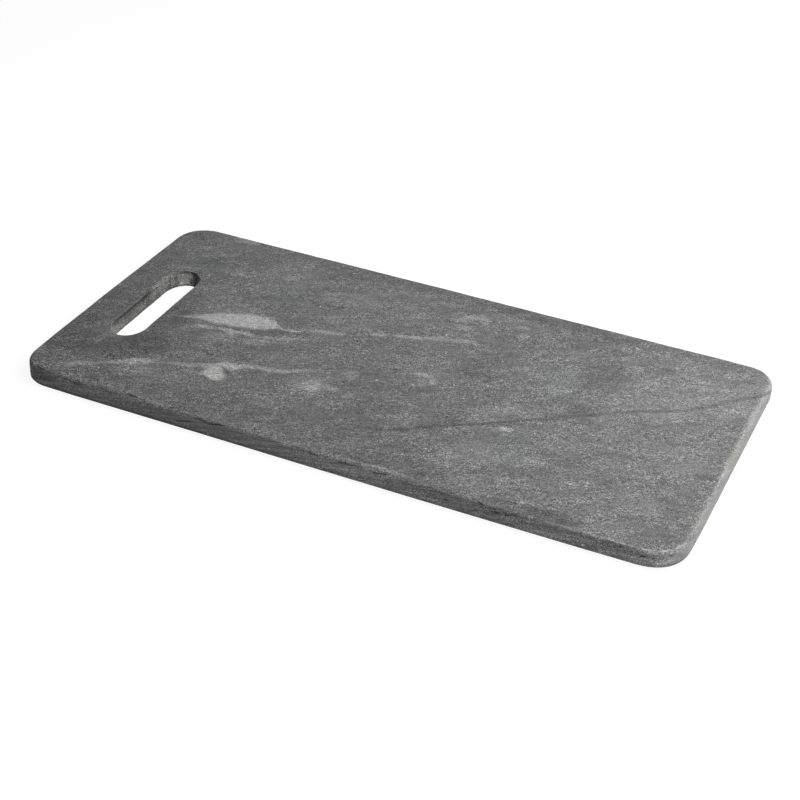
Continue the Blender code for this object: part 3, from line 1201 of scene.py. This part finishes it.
@dataclass(frozen=True)
class SurfaceLightAndShade:
    """Saw cuts, a paler edge line, painted light and painted shade, as shares of the tone, and how much the
    grain shows.

    A span is where an ease starts and ends: along X or Y, over the section from the middle of the
    upper edge, or as a part of the direction in which the wall faces.
    """

    front: Span = (0.2, -0.6)
    crest: float = 1.35
    crest_bell: Span = (0.3 * MM, 0.48 * MM)
    crest_x: Span = (95 * MM, 160 * MM)
    crest_ripple: Ripple = Ripple(5 * MM, 12, 0.25)
    # Painted shade in a band under the crest
    under_crest_shade: float = 0.16
    under_crest_bell: Span = (-1.5 * MM, 1.0 * MM)
    under_crest_x: tuple[Span, Span] = ((45 * MM, 75 * MM), (158 * MM, 140 * MM))
    # Painted light that makes the plain end wall paler
    lit_end_wall: float = 0.62
    plain_wall_arc: Span = (1.9 * MM, -1.3 * MM)
    plain_wall_even: float = 0.7
    sawn: float = 0.12
    sawn_plain_half: float = 0.2
    sawn_x: Span = (-80 * MM, 40 * MM)
    # Painted shade on the front lower edge
    lower_edge: float = 0.3
    lower_edge_slot_half: float = 0.3
    lower_edge_arc: Span = (-7.6 * MM, -8.8 * MM)
    lower_edge_x: Span = (-20 * MM, -80 * MM)
    # Painted shade in flakes and the undercut, which also show darker stone
    crevice: float = 0.8
    crevice_depth: float = 0.38 * MM
    # Painted shade on the upper rims of the slot end and of the back edge
    far_rim_shade: float = 0.4
    far_rim_arc: Span = (0.9 * MM, -0.6 * MM)
    far_rim_facing: Span = (0.3, 0.9)
    grain_corner: float = 0.16
    grain_corner_x: Span = (-60 * MM, -110 * MM)
    grain_corner_y: Span = (-40 * MM, -70 * MM)
    grain_back: float = 0.1
    grain_back_x: Span = (70 * MM, 0.0)
    grain_back_y: Span = (30 * MM, 75 * MM)
    grain_wall: float = 0.2
    grain_wall_slot_half: float = 0.35
    grain_wall_x: Span = (40 * MM, -80 * MM)
    grain_plain_wall: float = 0.5
    grain_crest: float = 0.4
    slot: SlotLightAndShade = SlotLightAndShade()

    def attributes(self, skin: Skin, cracks: Array) -> dict[str, Array]:
        """Return what the stone's finish reads at each place of the skin.

        Args:
            skin: The ideal skin.
            cracks: Depth of flakes and of the undercut.

        Returns:
            Numbers per place, by name: how much it is outer wall and slot wall, a factor on its tone
            for saw cuts, a paler edge line, painted light and painted shade, and how much its grain shows.
        """
        arc, outer = skin.arc, skin.outer
        on_outer, on_slot = skin.on(Region.OUTER_WALL), skin.on(Region.SLOT_WALL)
        x, y = skin.places[..., 0], skin.places[..., 1]
        east, north = outer.normals.T[:, None, :]
        at_plain_end = np.maximum(east, 0.0) ** 2
        at_front = smoothstep(*self.front, north)
        wall = on_outer * skin.upright

        # Paler saw cuts, a paler line along the front upper edge, and painted light on the plain end wall
        lit_end_wall = on_outer * at_plain_end * smoothstep(*self.plain_wall_arc, arc)
        sawn = self.sawn + self.sawn_plain_half * smoothstep(*self.sawn_x, x)
        sawn = wall * at_front * sawn * (1.0 - at_plain_end)
        crest = bell(arc, *self.crest_bell) * smoothstep(*self.crest_x, x) * at_front
        crest = crest * self.crest_ripple.factor(outer.lengths, outer.lap)

        # Painted shade in the cracks and the undercut, on the lower edge, in a band under the crest and on
        # rims that face away from the front and the plain end; the cracks also show darker stone
        lower_edge = self.lower_edge + self.lower_edge_slot_half * smoothstep(*self.lower_edge_x, x)
        lower_edge = on_outer * smoothstep(*self.lower_edge_arc, arc) * at_front * lower_edge
        crevice = np.clip(np.maximum(cracks / self.crevice_depth, lower_edge), 0.0, 1.0)
        under_crest_shade = bell(arc, *self.under_crest_bell) * at_front * between(x, *self.under_crest_x)
        turned_away = smoothstep(*self.far_rim_facing, np.maximum(-east, north))
        far_rim_shade = on_outer * smoothstep(*self.far_rim_arc, arc) * turned_away
        tone = (1.0 + self.crest * crest) * (1.0 + self.lit_end_wall * lit_end_wall) * (1.0 + sawn)
        tone = tone * (1.0 - self.under_crest_shade * under_crest_shade) * (1.0 + on_slot * self.slot.change(skin))
        tone = tone * (1.0 - self.crevice * crevice) * (1.0 - self.far_rim_shade * far_rim_shade)

        # Grain: coarse towards the front corner of the slot end, calm at the back and on the walls
        corner = smoothstep(*self.grain_corner_x, x) * smoothstep(*self.grain_corner_y, y)
        back = smoothstep(*self.grain_back_y, y) * smoothstep(*self.grain_back_x, x)
        on_wall = self.grain_wall + self.grain_wall_slot_half * smoothstep(*self.grain_wall_x, x)
        calm = self.grain_back * back + wall * on_wall
        calm = calm + self.grain_plain_wall * lit_end_wall + self.grain_crest * crest
        return {
            "wall": wall * (1.0 - self.plain_wall_even * at_plain_end),
            "slot_wall": on_slot * skin.upright,
            "tone": tone,
            "grain": 1.0 + self.grain_corner * corner - calm,
        }


@dataclass
class StoneSlab:
    """The slab: one closed skin that runs round the outline and through the hand slot."""

    node: str = "stone_slab"
    corner_radii: tuple[float, ...] = (17.8 * MM, 20.5 * MM, 19.8 * MM, 23.0 * MM)
    corner_steps: int = 33
    stations: int = 1300
    fine_stations: int = 20001
    crowding: float = 1.1
    crowded_y: Span = (-85 * MM, -97 * MM)
    top_ease: float = 2.2 * MM
    top_ease_plain_end: float = 4.0 * MM
    top_ease_plain_power: int = 4
    top_ease_front: float = 1.3 * MM
    top_ease_front_facing: Span = (-0.6, -0.97)
    top_ease_front_x: Span = (-130 * MM, -50 * MM)
    top_ease_ripple: Ripple = Ripple(16 * MM, 2, 0.14)
    bottom_ease: float = 1.5 * MM
    slot_length: float = 86.4 * MM
    slot_width: float = 21.4 * MM
    slot_from_end: float = 33.55 * MM
    slot_to_front: float = 0.6 * MM
    slot_turn: float = math.radians(0.75)
    slot_back_end: float = 16.0 * MM
    slot_front_end: float = 14.0 * MM
    slot_top_ease: float = 1.5 * MM
    slot_top_ease_sharp: float = 0.8 * MM
    slot_top_ease_soft: float = 2.3 * MM
    slot_soft_y: Span = (-4 * MM, 14 * MM)
    slot_outer_side: Span = (0.0, 0.8)
    slot_sharp_end: Span = (-0.45, -0.8)
    slot_ease_ripple: Ripple = Ripple(11 * MM, 3, 0.14)
    slot_bottom_ease: float = 1.0 * MM
    flaked_half: float = 0.9
    flakes_above: float = 1 * MM
    layer_relief: float = 0.07 * MM
    layer_ripples: tuple[Ripple, Ripple] = (Ripple(2.4 * MM, 5), Ripple(1.1 * MM, 6, 0.6))
    layer_patches: Ripple = Ripple(14 * MM, 7, 0.4)
    slot_streaks: float = 0.14 * MM
    streak_ripples: tuple[Ripple, Ripple] = (Ripple(6.5 * MM, 8), Ripple(2.1 * MM, 9, 0.7))
    undercut: float = 0.35 * MM
    undercut_y: tuple[Span, Span] = ((-40 * MM, -24 * MM), (24 * MM, 3 * MM))
    undercut_side: Span = (0.2, 0.7)
    undercut_level: float = 1.7 * MM
    undercut_ripple: Ripple = Ripple(9 * MM, 10, 0.3 * MM)
    undercut_groove: Span = (1.3 * MM, 0.2 * MM)
    chips: Chips = Chips()
    light_and_shade: SurfaceLightAndShade = SurfaceLightAndShade()
    low: Array = field(init=False)
    high: Array = field(init=False)

    def __post_init__(self) -> None:
        """Read the slab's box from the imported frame."""
        self.low, self.high = (np.array(corner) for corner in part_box(self.node))

    @property
    def slot_centre(self) -> Array:
        """The middle of the hand slot in plan."""
        return np.array([self.low[0] + self.slot_from_end, -self.slot_to_front])

    def outer_outline(self) -> Outline:
        """Return stations round the slab's outline, anticlockwise, closer along the front edge.

        Four quarter arcs of unlike radius joined by straight edges. The direction out of the
        stone turns evenly along an arc and stays the same along an edge. Hand grinding left the
        outline a little out or in, by amounts that run straight from one station to the next.

        Returns:
            The outline.
        """
        signs = ((1, 1), (-1, 1), (-1, -1), (1, -1))
        corners = np.array([(self.high[0] * x, self.high[1] * y) for x, y in signs])
        radii = np.array(self.corner_radii)[:, None]
        centres = corners - np.array(signs) * radii
        quarter = np.linspace(0.0, math.pi / 2, self.corner_steps)
        turn = np.arange(4)[:, None] * math.pi / 2 + quarter[None, :]
        x = (centres[:, :1] + radii * np.cos(turn)).ravel()
        y = (centres[:, 1:] + radii * np.sin(turn)).ravel()
        angle = np.append(turn.ravel(), 2.0 * math.pi)
        x, y = np.append(x, x[0]), np.append(y, y[0])
        run = np.concatenate([[0.0], np.cumsum(np.hypot(np.diff(x), np.diff(y)))])
        fine = np.linspace(0.0, run[-1], self.fine_stations)
        crowd = 1.0 + self.crowding * smoothstep(*self.crowded_y, np.interp(fine, run, y))
        count = np.cumsum(crowd) - crowd[0]
        lengths = np.interp(np.arange(self.stations) / self.stations * count[-1], count, fine)
        facing = np.interp(lengths, run, angle)
        points = np.stack([np.interp(lengths, run, x), np.interp(lengths, run, y)], axis=-1)
        normals = np.stack([np.cos(facing), np.sin(facing)], axis=-1)
        ground = np.array(GRINDING) * MM
        away = np.linalg.norm(points[:, None, :] - ground[None, :, :2], axis=-1)
        spots = lengths[np.argmin(away, axis=0)]
        order = np.argsort(spots)
        wave = np.interp(lengths, spots[order], ground[order, 2], period=run[-1])
        return Outline(points + wave[:, None] * normals, normals, lengths, run[-1])

    def slot_outline(self, outer: Outline) -> Outline:
        """Return the slot's stations, each on the ray from the slot's centre to an outer station.

        The slot is turned a little on the board, and each of its ends is half an ellipse. A ray
        meets a straight side where it has gone half a width sideways, and otherwise it meets the
        ellipse at that end, at the larger root of a quadratic in its length.

        Args:
            outer: The outline that the rays run to.

        Returns:
            The slot's outline, with directions that point into the slot.
        """
        cosine, sine = math.cos(self.slot_turn), math.sin(self.slot_turn)
        to_slot = np.array([[cosine, sine], [-sine, cosine]])
        ray = (outer.points - self.slot_centre) @ to_slot.T
        ray /= np.linalg.norm(ray, axis=1, keepdims=True)
        side = np.sign(ray)
        half = self.slot_width / 2
        end = np.where(side[:, 1] > 0.0, self.slot_back_end, self.slot_front_end)
        reach = self.slot_length / 2 - end
        to_side = half / np.maximum(np.abs(ray[:, 0]), TINY)
        square = (ray[:, 0] / half) ** 2 + (ray[:, 1] / end) ** 2
        linear = reach * np.abs(ray[:, 1]) / end**2
        rest = (reach / end) ** 2 - 1.0
        to_end = (linear + np.sqrt(np.maximum(linear**2 - square * rest, 0.0))) / square
        on_side = to_side * np.abs(ray[:, 1]) <= reach
        local = ray * np.where(on_side, to_side, to_end)[:, None]
        past = np.where(on_side, 0.0, local[:, 1] - side[:, 1] * reach)
        slope = np.stack([local[:, 0] / half**2, past / end**2], axis=-1)
        normals = -slope / np.linalg.norm(slope, axis=1, keepdims=True)
        local, normals = local @ to_slot, normals @ to_slot
        steps = np.linalg.norm(np.diff(local, axis=0, append=local[:1]), axis=1)
        lengths = np.concatenate([[0.0], np.cumsum(steps)[:-1]])
        return Outline(self.slot_centre + local, normals, lengths, steps.sum())

    def outer_ease(self, outer: Outline) -> Array:
        """Return the upper outer edge's radius: larger at the plain end and crisper along the front.

        Args:
            outer: The slab's outline.

        Returns:
            Radii, one per station.
        """
        east, north = outer.normals.T
        plain_end = np.maximum(east, 0.0) ** self.top_ease_plain_power
        front = smoothstep(*self.top_ease_front_facing, north)
        front = front * smoothstep(*self.top_ease_front_x, outer.points[:, 0])
        ease = blend(self.top_ease, self.top_ease_plain_end, plain_end)
        ease = blend(ease, self.top_ease_front, front)
        return ease * (1.0 + self.top_ease_ripple.at(outer.lengths, outer.lap))

    def slot_ease(self, slot: Outline) -> Array:
        """Return the upper slot edge's radius: sharp at the back end and along half of the outer side.

        Args:
            slot: The slot's outline.

        Returns:
            Radii, one per station.
        """
        east, north = slot.normals.T
        softened = smoothstep(*self.slot_soft_y, slot.points[:, 1])
        outer_side = blend(self.slot_top_ease_sharp, self.slot_top_ease_soft, softened)
        ease = blend(self.slot_top_ease, outer_side, smoothstep(*self.slot_outer_side, east))
        ease = blend(ease, self.slot_top_ease_sharp, smoothstep(*self.slot_sharp_end, north))
        return ease * (1.0 + self.slot_ease_ripple.at(slot.lengths, slot.lap))

    def wall(self, outline: Outline, top_ease: Array, bottom_ease: float, levels: Sequence[int]) -> Array:
        """Return a wall whose upper and lower edges are rounded over.

        At each station the section runs up a quarter circle, a straight wall and a second
        quarter circle. A level is set back from the outline, away from where the wall faces.

        Args:
            outline: Where the wall stands.
            top_ease: Radius of the upper edge at each station.
            bottom_ease: Radius of the lower edge.
            levels: Levels in the lower edge, the straight wall and the upper edge.

        Returns:
            Points of shape (levels, stations, 3).
        """
        lower = np.linspace(-math.pi / 2, 0.0, levels[0])[:, None]
        between_them = np.linspace(0.0, 1.0, levels[1] + 2)[1:-1, None]
        upper = np.linspace(0.0, math.pi / 2, levels[2])[:, None]
        foot, head = self.low[2] + bottom_ease, self.high[2] - top_ease[None, :]
        one = np.ones((1, len(top_ease)))
        setback = np.concatenate([
            bottom_ease * (1.0 - np.cos(lower)) * one,
            0.0 * between_them * one,
            top_ease[None, :] * (1.0 - np.cos(upper)),
        ])
        height = np.concatenate([
            (foot + bottom_ease * np.sin(lower)) * one,
            foot + (head - foot) * between_them,
            head + top_ease[None, :] * np.sin(upper),
        ])
        plan = outline.points[None] - setback[..., None] * outline.normals[None]
        return np.concatenate([plan, height[..., None]], axis=-1)

    def face(self, start: Array, end: Array, leaving: Sequence[float], rings: int) -> Array:
        """Return rings between two closed rims, at set distances from both.

        A point lies on the straight line between the rims. The rings between those at set
        distances are spread evenly.

        Args:
            start: The rim that the rings leave.
            end: The rim that they reach.
            leaving: Distances of the first rings from the first rim, in millimetres.
            rings: Number of evenly spread rings.

        Returns:
            Points of shape (rings, stations, 3).
        """
        first, last = (np.array(distances)[:, None] * MM for distances in (leaving, NEAR_END))
        span = np.linalg.norm(end - start, axis=-1)[None, :]
        even = np.linspace(0.0, 1.0, rings + 2)[1:-1, None]
        distance = np.concatenate([
            first + 0.0 * span,
            first[-1] + (span - first[-1] - last[0]) * even,
            span - last,
        ])
        return start[None] + (distance / span)[..., None] * (end - start)[None]

    def skin(self) -> Skin:
        """Return the ideal skin.

        One way round its grid follows the outline. The other climbs the outer wall, crosses the
        working face to the slot, goes down the slot's wall and comes back along the underside.

        Returns:
            The skin.
        """
        outer = self.outer_outline()
        slot = self.slot_outline(outer)
        outer_wall = self.wall(outer, self.outer_ease(outer), self.bottom_ease, OUTER_LEVELS)
        slot_wall = self.wall(slot, self.slot_ease(slot), self.slot_bottom_ease, SLOT_LEVELS)
        parts = {
            Region.OUTER_WALL: outer_wall,
            Region.WORKING_FACE: self.face(outer_wall[-1], slot_wall[-1], NEAR_EDGE, FACE_RINGS),
            Region.SLOT_WALL: slot_wall[::-1],
            Region.UNDERSIDE: self.face(slot_wall[0], outer_wall[0], NEAR_LOWER_EDGE, UNDERSIDE_RINGS),
        }
        ends = np.cumsum([len(part) for part in parts.values()])
        rows = {region: slice(end - len(part), end) for (region, part), end in zip(parts.items(), ends)}
        return Skin(outer, slot, rows, np.concatenate(list(parts.values())), self.high[2])

    def flakes(self, skin: Skin) -> Array:
        """Return how deep the front edge's flakes are, as the deepest of all notches.

        Args:
            skin: The ideal skin.

        Returns:
            Depths, 0 off the flakes.
        """
        x, arc = skin.places[..., 0] / MM, skin.arc / MM
        deepest = np.max([notch.cut(x, arc) for notch in NOTCHES], axis=0)
        at_front = skin.places[..., 1] < -self.flaked_half * self.high[1]
        return deepest * MM * at_front * (skin.places[..., 2] > self.low[2] + self.flakes_above)

    def layers(self, skin: Skin) -> Array:
        """Return the relief of the bedding on the outer wall: random curves across the layers, in patches.

        Args:
            skin: The ideal skin.

        Returns:
            Depths, which may be negative.
        """
        x, y, z = np.moveaxis(skin.places, -1, 0)
        across = DIP * z + x * ACROSS[0] + y * ACROSS[1]
        ledges = sum(ripple.at(across, OPEN_LAP) for ripple in self.layer_ripples)
        patchy = self.layer_patches.factor(skin.outer.lengths, skin.outer.lap)
        return self.layer_relief * ledges * patchy[None, :] * skin.upright

    def slot_tooling(self, skin: Skin) -> tuple[Array, Array]:
        """Return the slot wall's upright tool marks, and the undercut along its outer side.

        The marks are two random curves round the slot. The undercut is a groove a third of the
        way down, deepest between its ends.

        Args:
            skin: The ideal skin.

        Returns:
            Depth of the marks, which may be negative, and depth of the undercut.
        """
        y, slot = skin.places[..., 1], skin.slot
        marks = sum(ripple.at(slot.lengths, slot.lap) for ripple in self.streak_ripples)
        level = self.undercut_level + self.undercut_ripple.at(y, OPEN_LAP)
        groove = smoothstep(*self.undercut_groove, np.abs(skin.below - level))
        outer_side = smoothstep(*self.undercut_side, slot.normals[:, 0])[None, :]
        undercut = self.undercut * groove * between(y, *self.undercut_y) * outer_side
        return self.slot_streaks * marks[None, :] * skin.upright, undercut

    def build(self, finish: StoneFinish) -> bpy.types.Object:
        """Build the slab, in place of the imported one.

        Args:
            finish: The stone's finish.

        Returns:
            The slab.
        """
        skin = self.skin()
        on_slot = skin.on(Region.SLOT_WALL)
        flakes = self.flakes(skin)
        marks, undercut = self.slot_tooling(skin)
        depth = np.maximum(flakes, self.chips.cut(skin))
        depth += skin.on(Region.OUTER_WALL) * self.layers(skin)
        depth += on_slot * (marks + undercut)
        places = skin.places - depth[..., None] * skin.directions

        piece = mesh_object("honed_slab", places.reshape(-1, 3), grid_faces(*depth.shape, rows_close=True))
        for name, values in self.light_and_shade.attributes(skin, flakes + on_slot * undercut).items():
            point_attribute(piece, name, values)
        piece.data.materials.append(finish.build(self.high[2]))
        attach(piece, BODY)
        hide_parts(self.node)
        return piece


# Feet


class Corner(Enum):
    """The four places of a foot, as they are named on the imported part."""

    FRONT_LEFT = "front_left"
    FRONT_RIGHT = "front_right"
    BACK_LEFT = "back_left"
    BACK_RIGHT = "back_right"


@dataclass
class StickOnFoot:
    """One moulded rubber foot and the adhesive film that holds it to the slab."""

    corner: Corner
    side_taper: float = 0.4 * MM
    rim: float = 0.6 * MM
    crown: float = 0.25 * MM
    tread_width: float = 1.3 * MM
    dish: float = 0.35 * MM
    dish_start: float = 0.08
    cap: float = 0.5
    film_inset: float = 0.35 * MM
    film_bulge: float = 0.08 * MM
    crease: float = math.radians(50)
    sides: int = 72
    levels: int = 7

    @property
    def node(self) -> str:
        """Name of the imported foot."""
        return f"foot_{self.corner.value}"

    def turned(self, name: str, profile: Array) -> bpy.types.Object:
        """Carry a profile round the foot's axis and close it with a flat cap at both ends.

        A point of the profile at radius r and height z goes to (r cos a, r sin a, z) about the
        axis, for even steps of the angle a.

        Args:
            name: The piece's name.
            profile: Radii and heights, from the lower cap to the upper one.

        Returns:
            The piece, on its body.
        """
        low, high = (np.array(corner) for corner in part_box(self.node))
        centre = 0.5 * (low + high)
        angle = np.arange(self.sides) / self.sides * 2.0 * math.pi
        x = centre[0] + profile[:, :1] * np.cos(angle)[None, :]
        y = centre[1] + profile[:, :1] * np.sin(angle)[None, :]
        z = profile[:, 1:] + 0.0 * x
        number = np.arange(z.size).reshape(z.shape)
        caps = (number[0, ::-1], number[-1])
        places = np.stack([x, y, z], axis=-1).reshape(-1, 3)
        piece = mesh_object(name, places, grid_faces(*z.shape, rows_close=False), caps)
        piece.data.set_sharp_from_angle(angle=self.crease)
        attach(piece, BODY)
        return piece

    def build_rubber(self, material: bpy.types.Material) -> bpy.types.Object:
        """Build the foot: a dished tread, a round rim, a side that draws in and a rounded shoulder.

        Args:
            material: The rubber.

        Returns:
            The foot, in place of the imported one.
        """
        low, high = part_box(self.node)
        top_radius = 0.5 * (high.x - low.x)
        tread = top_radius - self.side_taper - self.rim
        share = np.linspace(self.dish_start, 1.0, self.levels)
        hollow = tread - self.tread_width
        dish = np.stack([hollow * share, self.dish * (1.0 - share**2)], axis=-1)
        turn = np.linspace(0.0, math.pi / 2, self.levels)
        rim = np.stack([tread + self.rim * np.sin(turn), self.rim * (1.0 - np.cos(turn))], axis=-1)
        shoulder = np.stack([
            top_radius - self.crown * (1.0 - np.cos(turn)),
            high.z - self.crown + self.crown * np.sin(turn),
        ], axis=-1)
        head = np.array([[self.cap * top_radius, high.z]])
        piece = self.turned(f"rubber_{self.node}", np.concatenate([dish, rim, shoulder, head]))
        piece.data.materials.append(material)
        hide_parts(self.node)
        return piece

    def build_film(self, material: bpy.types.Material, slab_underside: float) -> bpy.types.Object:
        """Build the film between the foot and the slab, with a rim that bulges a little.

        Args:
            material: The adhesive.
            slab_underside: Height of the stone that it sticks to.

        Returns:
            The film.
        """
        low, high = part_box(self.node)
        radius = 0.5 * (high.x - low.x) - self.film_inset
        turn = np.linspace(-math.pi / 2, math.pi / 2, self.levels)
        half = 0.5 * (slab_underside - high.z)
        radii = radius + self.film_bulge * np.cos(turn)
        rim = np.stack([radii, high.z + half * (1.0 + np.sin(turn))], axis=-1)
        foot, head = (np.array([[self.cap * radius, height]]) for height in (high.z, slab_underside))
        piece = self.turned(f"adhesive_film_{self.corner.value}", np.concatenate([foot, rim, head]))
        piece.data.materials.append(material)
        return piece


# Studio


@dataclass(frozen=True)
class SoftBox:
    """One square area lamp aimed at the board's middle: bearing, height, distance, side and watts."""

    name: str
    bearing: float
    elevation: float
    distance: float
    side: float
    power: float

    def build(self) -> bpy.types.Object:
        """Build the lamp, turned towards the board.

        Returns:
            The lamp.
        """
        turn, tilt = math.radians(self.bearing), math.radians(self.elevation)
        level = math.cos(tilt)
        place = self.distance * Vector((level * math.cos(turn), level * math.sin(turn), math.sin(tilt)))
        lamp = bpy.data.lights.new(self.name, "AREA")
        lamp.shape = "SQUARE"
        lamp.size = self.side
        lamp.energy = self.power
        holder = bpy.data.objects.new(self.name, lamp)
        holder.location = place
        holder.rotation_euler = (-place).to_track_quat("-Z", "Y").to_euler()
        bpy.context.collection.objects.link(holder)
        return holder


@dataclass(frozen=True)
class Studio:
    """A pale floor, soft boxes, a plain sky and the camera at the photograph's angle."""

    floor_half: float = 4.0
    floor_colour: float = 0.8
    floor_glow: float = 0.93
    floor_shadow: float = 0.16
    target: tuple[float, float, float] = (5.9 * MM, -12.5 * MM, 0.0)
    azimuth: float = math.radians(23.595)
    elevation: float = math.radians(33.06)
    roll: float = math.radians(-2.267)
    distance: float = 0.9743
    lens: float = 75.24
    sensor: float = 36.0
    clip_start: float = 0.01
    sky: float = 0.01
    boxes: tuple[SoftBox, ...] = (
        SoftBox("key_box", -20.0, 50.0, 1.1, 0.5, 8.5),
        SoftBox("fill_box", -60.0, 30.0, 1.0, 0.6, 0.8),
        SoftBox("back_box", 60.0, 20.0, 0.8, 0.5, 6.1),
    )

    def build_camera(self) -> bpy.types.Object:
        """Build the camera on its sight line to the target, rolled about it.

        Returns:
            The camera.
        """
        turn, tilt = -self.azimuth, self.elevation
        level = Vector((math.cos(turn), -math.sin(turn), 0.0))
        rise = Vector((math.sin(turn), math.cos(turn), 0.0)) * math.sin(tilt)
        rise.z = math.cos(tilt)
        forward = Vector((math.sin(turn), math.cos(turn), 0.0)) * math.cos(tilt)
        forward.z = -math.sin(tilt)
        right = math.cos(self.roll) * level - math.sin(self.roll) * rise
        up = math.sin(self.roll) * level + math.cos(self.roll) * rise
        data = bpy.data.cameras.new("camera")
        data.lens = self.lens
        data.sensor_width = self.sensor
        data.clip_start = self.clip_start
        camera = bpy.data.objects.new("camera", data)
        place = Vector(self.target) - self.distance * forward
        turned = Matrix((right, up, -forward)).transposed().to_4x4()
        camera.matrix_world = Matrix.Translation(place) @ turned
        bpy.context.collection.objects.link(camera)
        bpy.context.scene.camera = camera
        return camera

    def shown(self, graph: Graph) -> Socket:
        """Return which rays show the background itself: camera, glossy and transmission rays.

        Args:
            graph: Where the expressions go.

        Returns:
            1 for those rays and 0 for the others.
        """
        path = graph.node("ShaderNodeLightPath").outputs
        mirrored = graph.math("MAXIMUM", path["Is Glossy Ray"], path["Is Transmission Ray"])
        return graph.math("MAXIMUM", path["Is Camera Ray"], mirrored)

    def build_floor(self) -> bpy.types.Object:
        """Build the floor: one large square, pale to the light and near white to the eye.

        To the eye most of it is an even glow, and a share that takes the light keeps the shadow.

        Returns:
            The floor.
        """
        half = self.floor_half
        places = np.array([(-half, -half, 0.0), (half, -half, 0.0), (half, half, 0.0), (-half, half, 0.0)])
        floor = mesh_object("floor", places, np.array([[0, 1, 2, 3]]))
        material, graph, shader = new_material("pale_floor")
        graph.tree.nodes.remove(shader)
        pale, shadow = (
            graph.node("ShaderNodeBsdfDiffuse", (grey, grey, grey, 1.0)).outputs[0]
            for grey in (self.floor_colour, self.floor_shadow)
        )
        glow = graph.node("ShaderNodeEmission", None, self.floor_glow).outputs[0]
        lit = graph.node("ShaderNodeAddShader", glow, shadow).outputs[0]
        mix = graph.node("ShaderNodeMixShader", self.shown(graph), pale, lit).outputs[0]
        graph.feed(graph.tree.nodes["Material Output"].inputs["Surface"], mix)
        floor.data.materials.append(material)
        return floor

    def build_sky(self) -> None:
        """Light the scene a little from all round, and show plain white behind the floor."""
        world = bpy.data.worlds.new("sky")
        world.use_nodes = True
        graph = Graph(world.node_tree)
        background = world.node_tree.nodes["Background"]
        background.inputs["Color"].default_value = (1.0, 1.0, 1.0, 1.0)
        strength = graph.math("MULTIPLY_ADD", self.shown(graph), 1.0 - self.sky, self.sky)
        graph.feed(background.inputs["Strength"], strength)
        bpy.context.scene.world = world

    def build(self) -> None:
        """Build the floor, sky, lamps and camera."""
        self.build_floor()
        self.build_sky()
        for box in self.boxes:
            box.build()
        self.build_camera()
        bpy.context.scene.view_settings.view_transform = "Standard"


def main() -> None:
    """Build the slab, the feet with their films and the studio, and report each piece."""
    logging.basicConfig(level=logging.INFO, format="%(message)s")
    slab = StoneSlab()
    pieces = [slab.build(StoneFinish())]
    rubber, adhesive = RubberFinish().build(), AdhesiveFinish().build()
    for corner in Corner:
        foot = StickOnFoot(corner)
        pieces.append(foot.build_rubber(rubber))
        pieces.append(foot.build_film(adhesive, float(slab.low[2])))
    for piece in pieces:
        LOG.info("%s: %d faces", piece.name, len(piece.data.polygons))
    Studio().build()


if __name__ == "__main__":
    main()
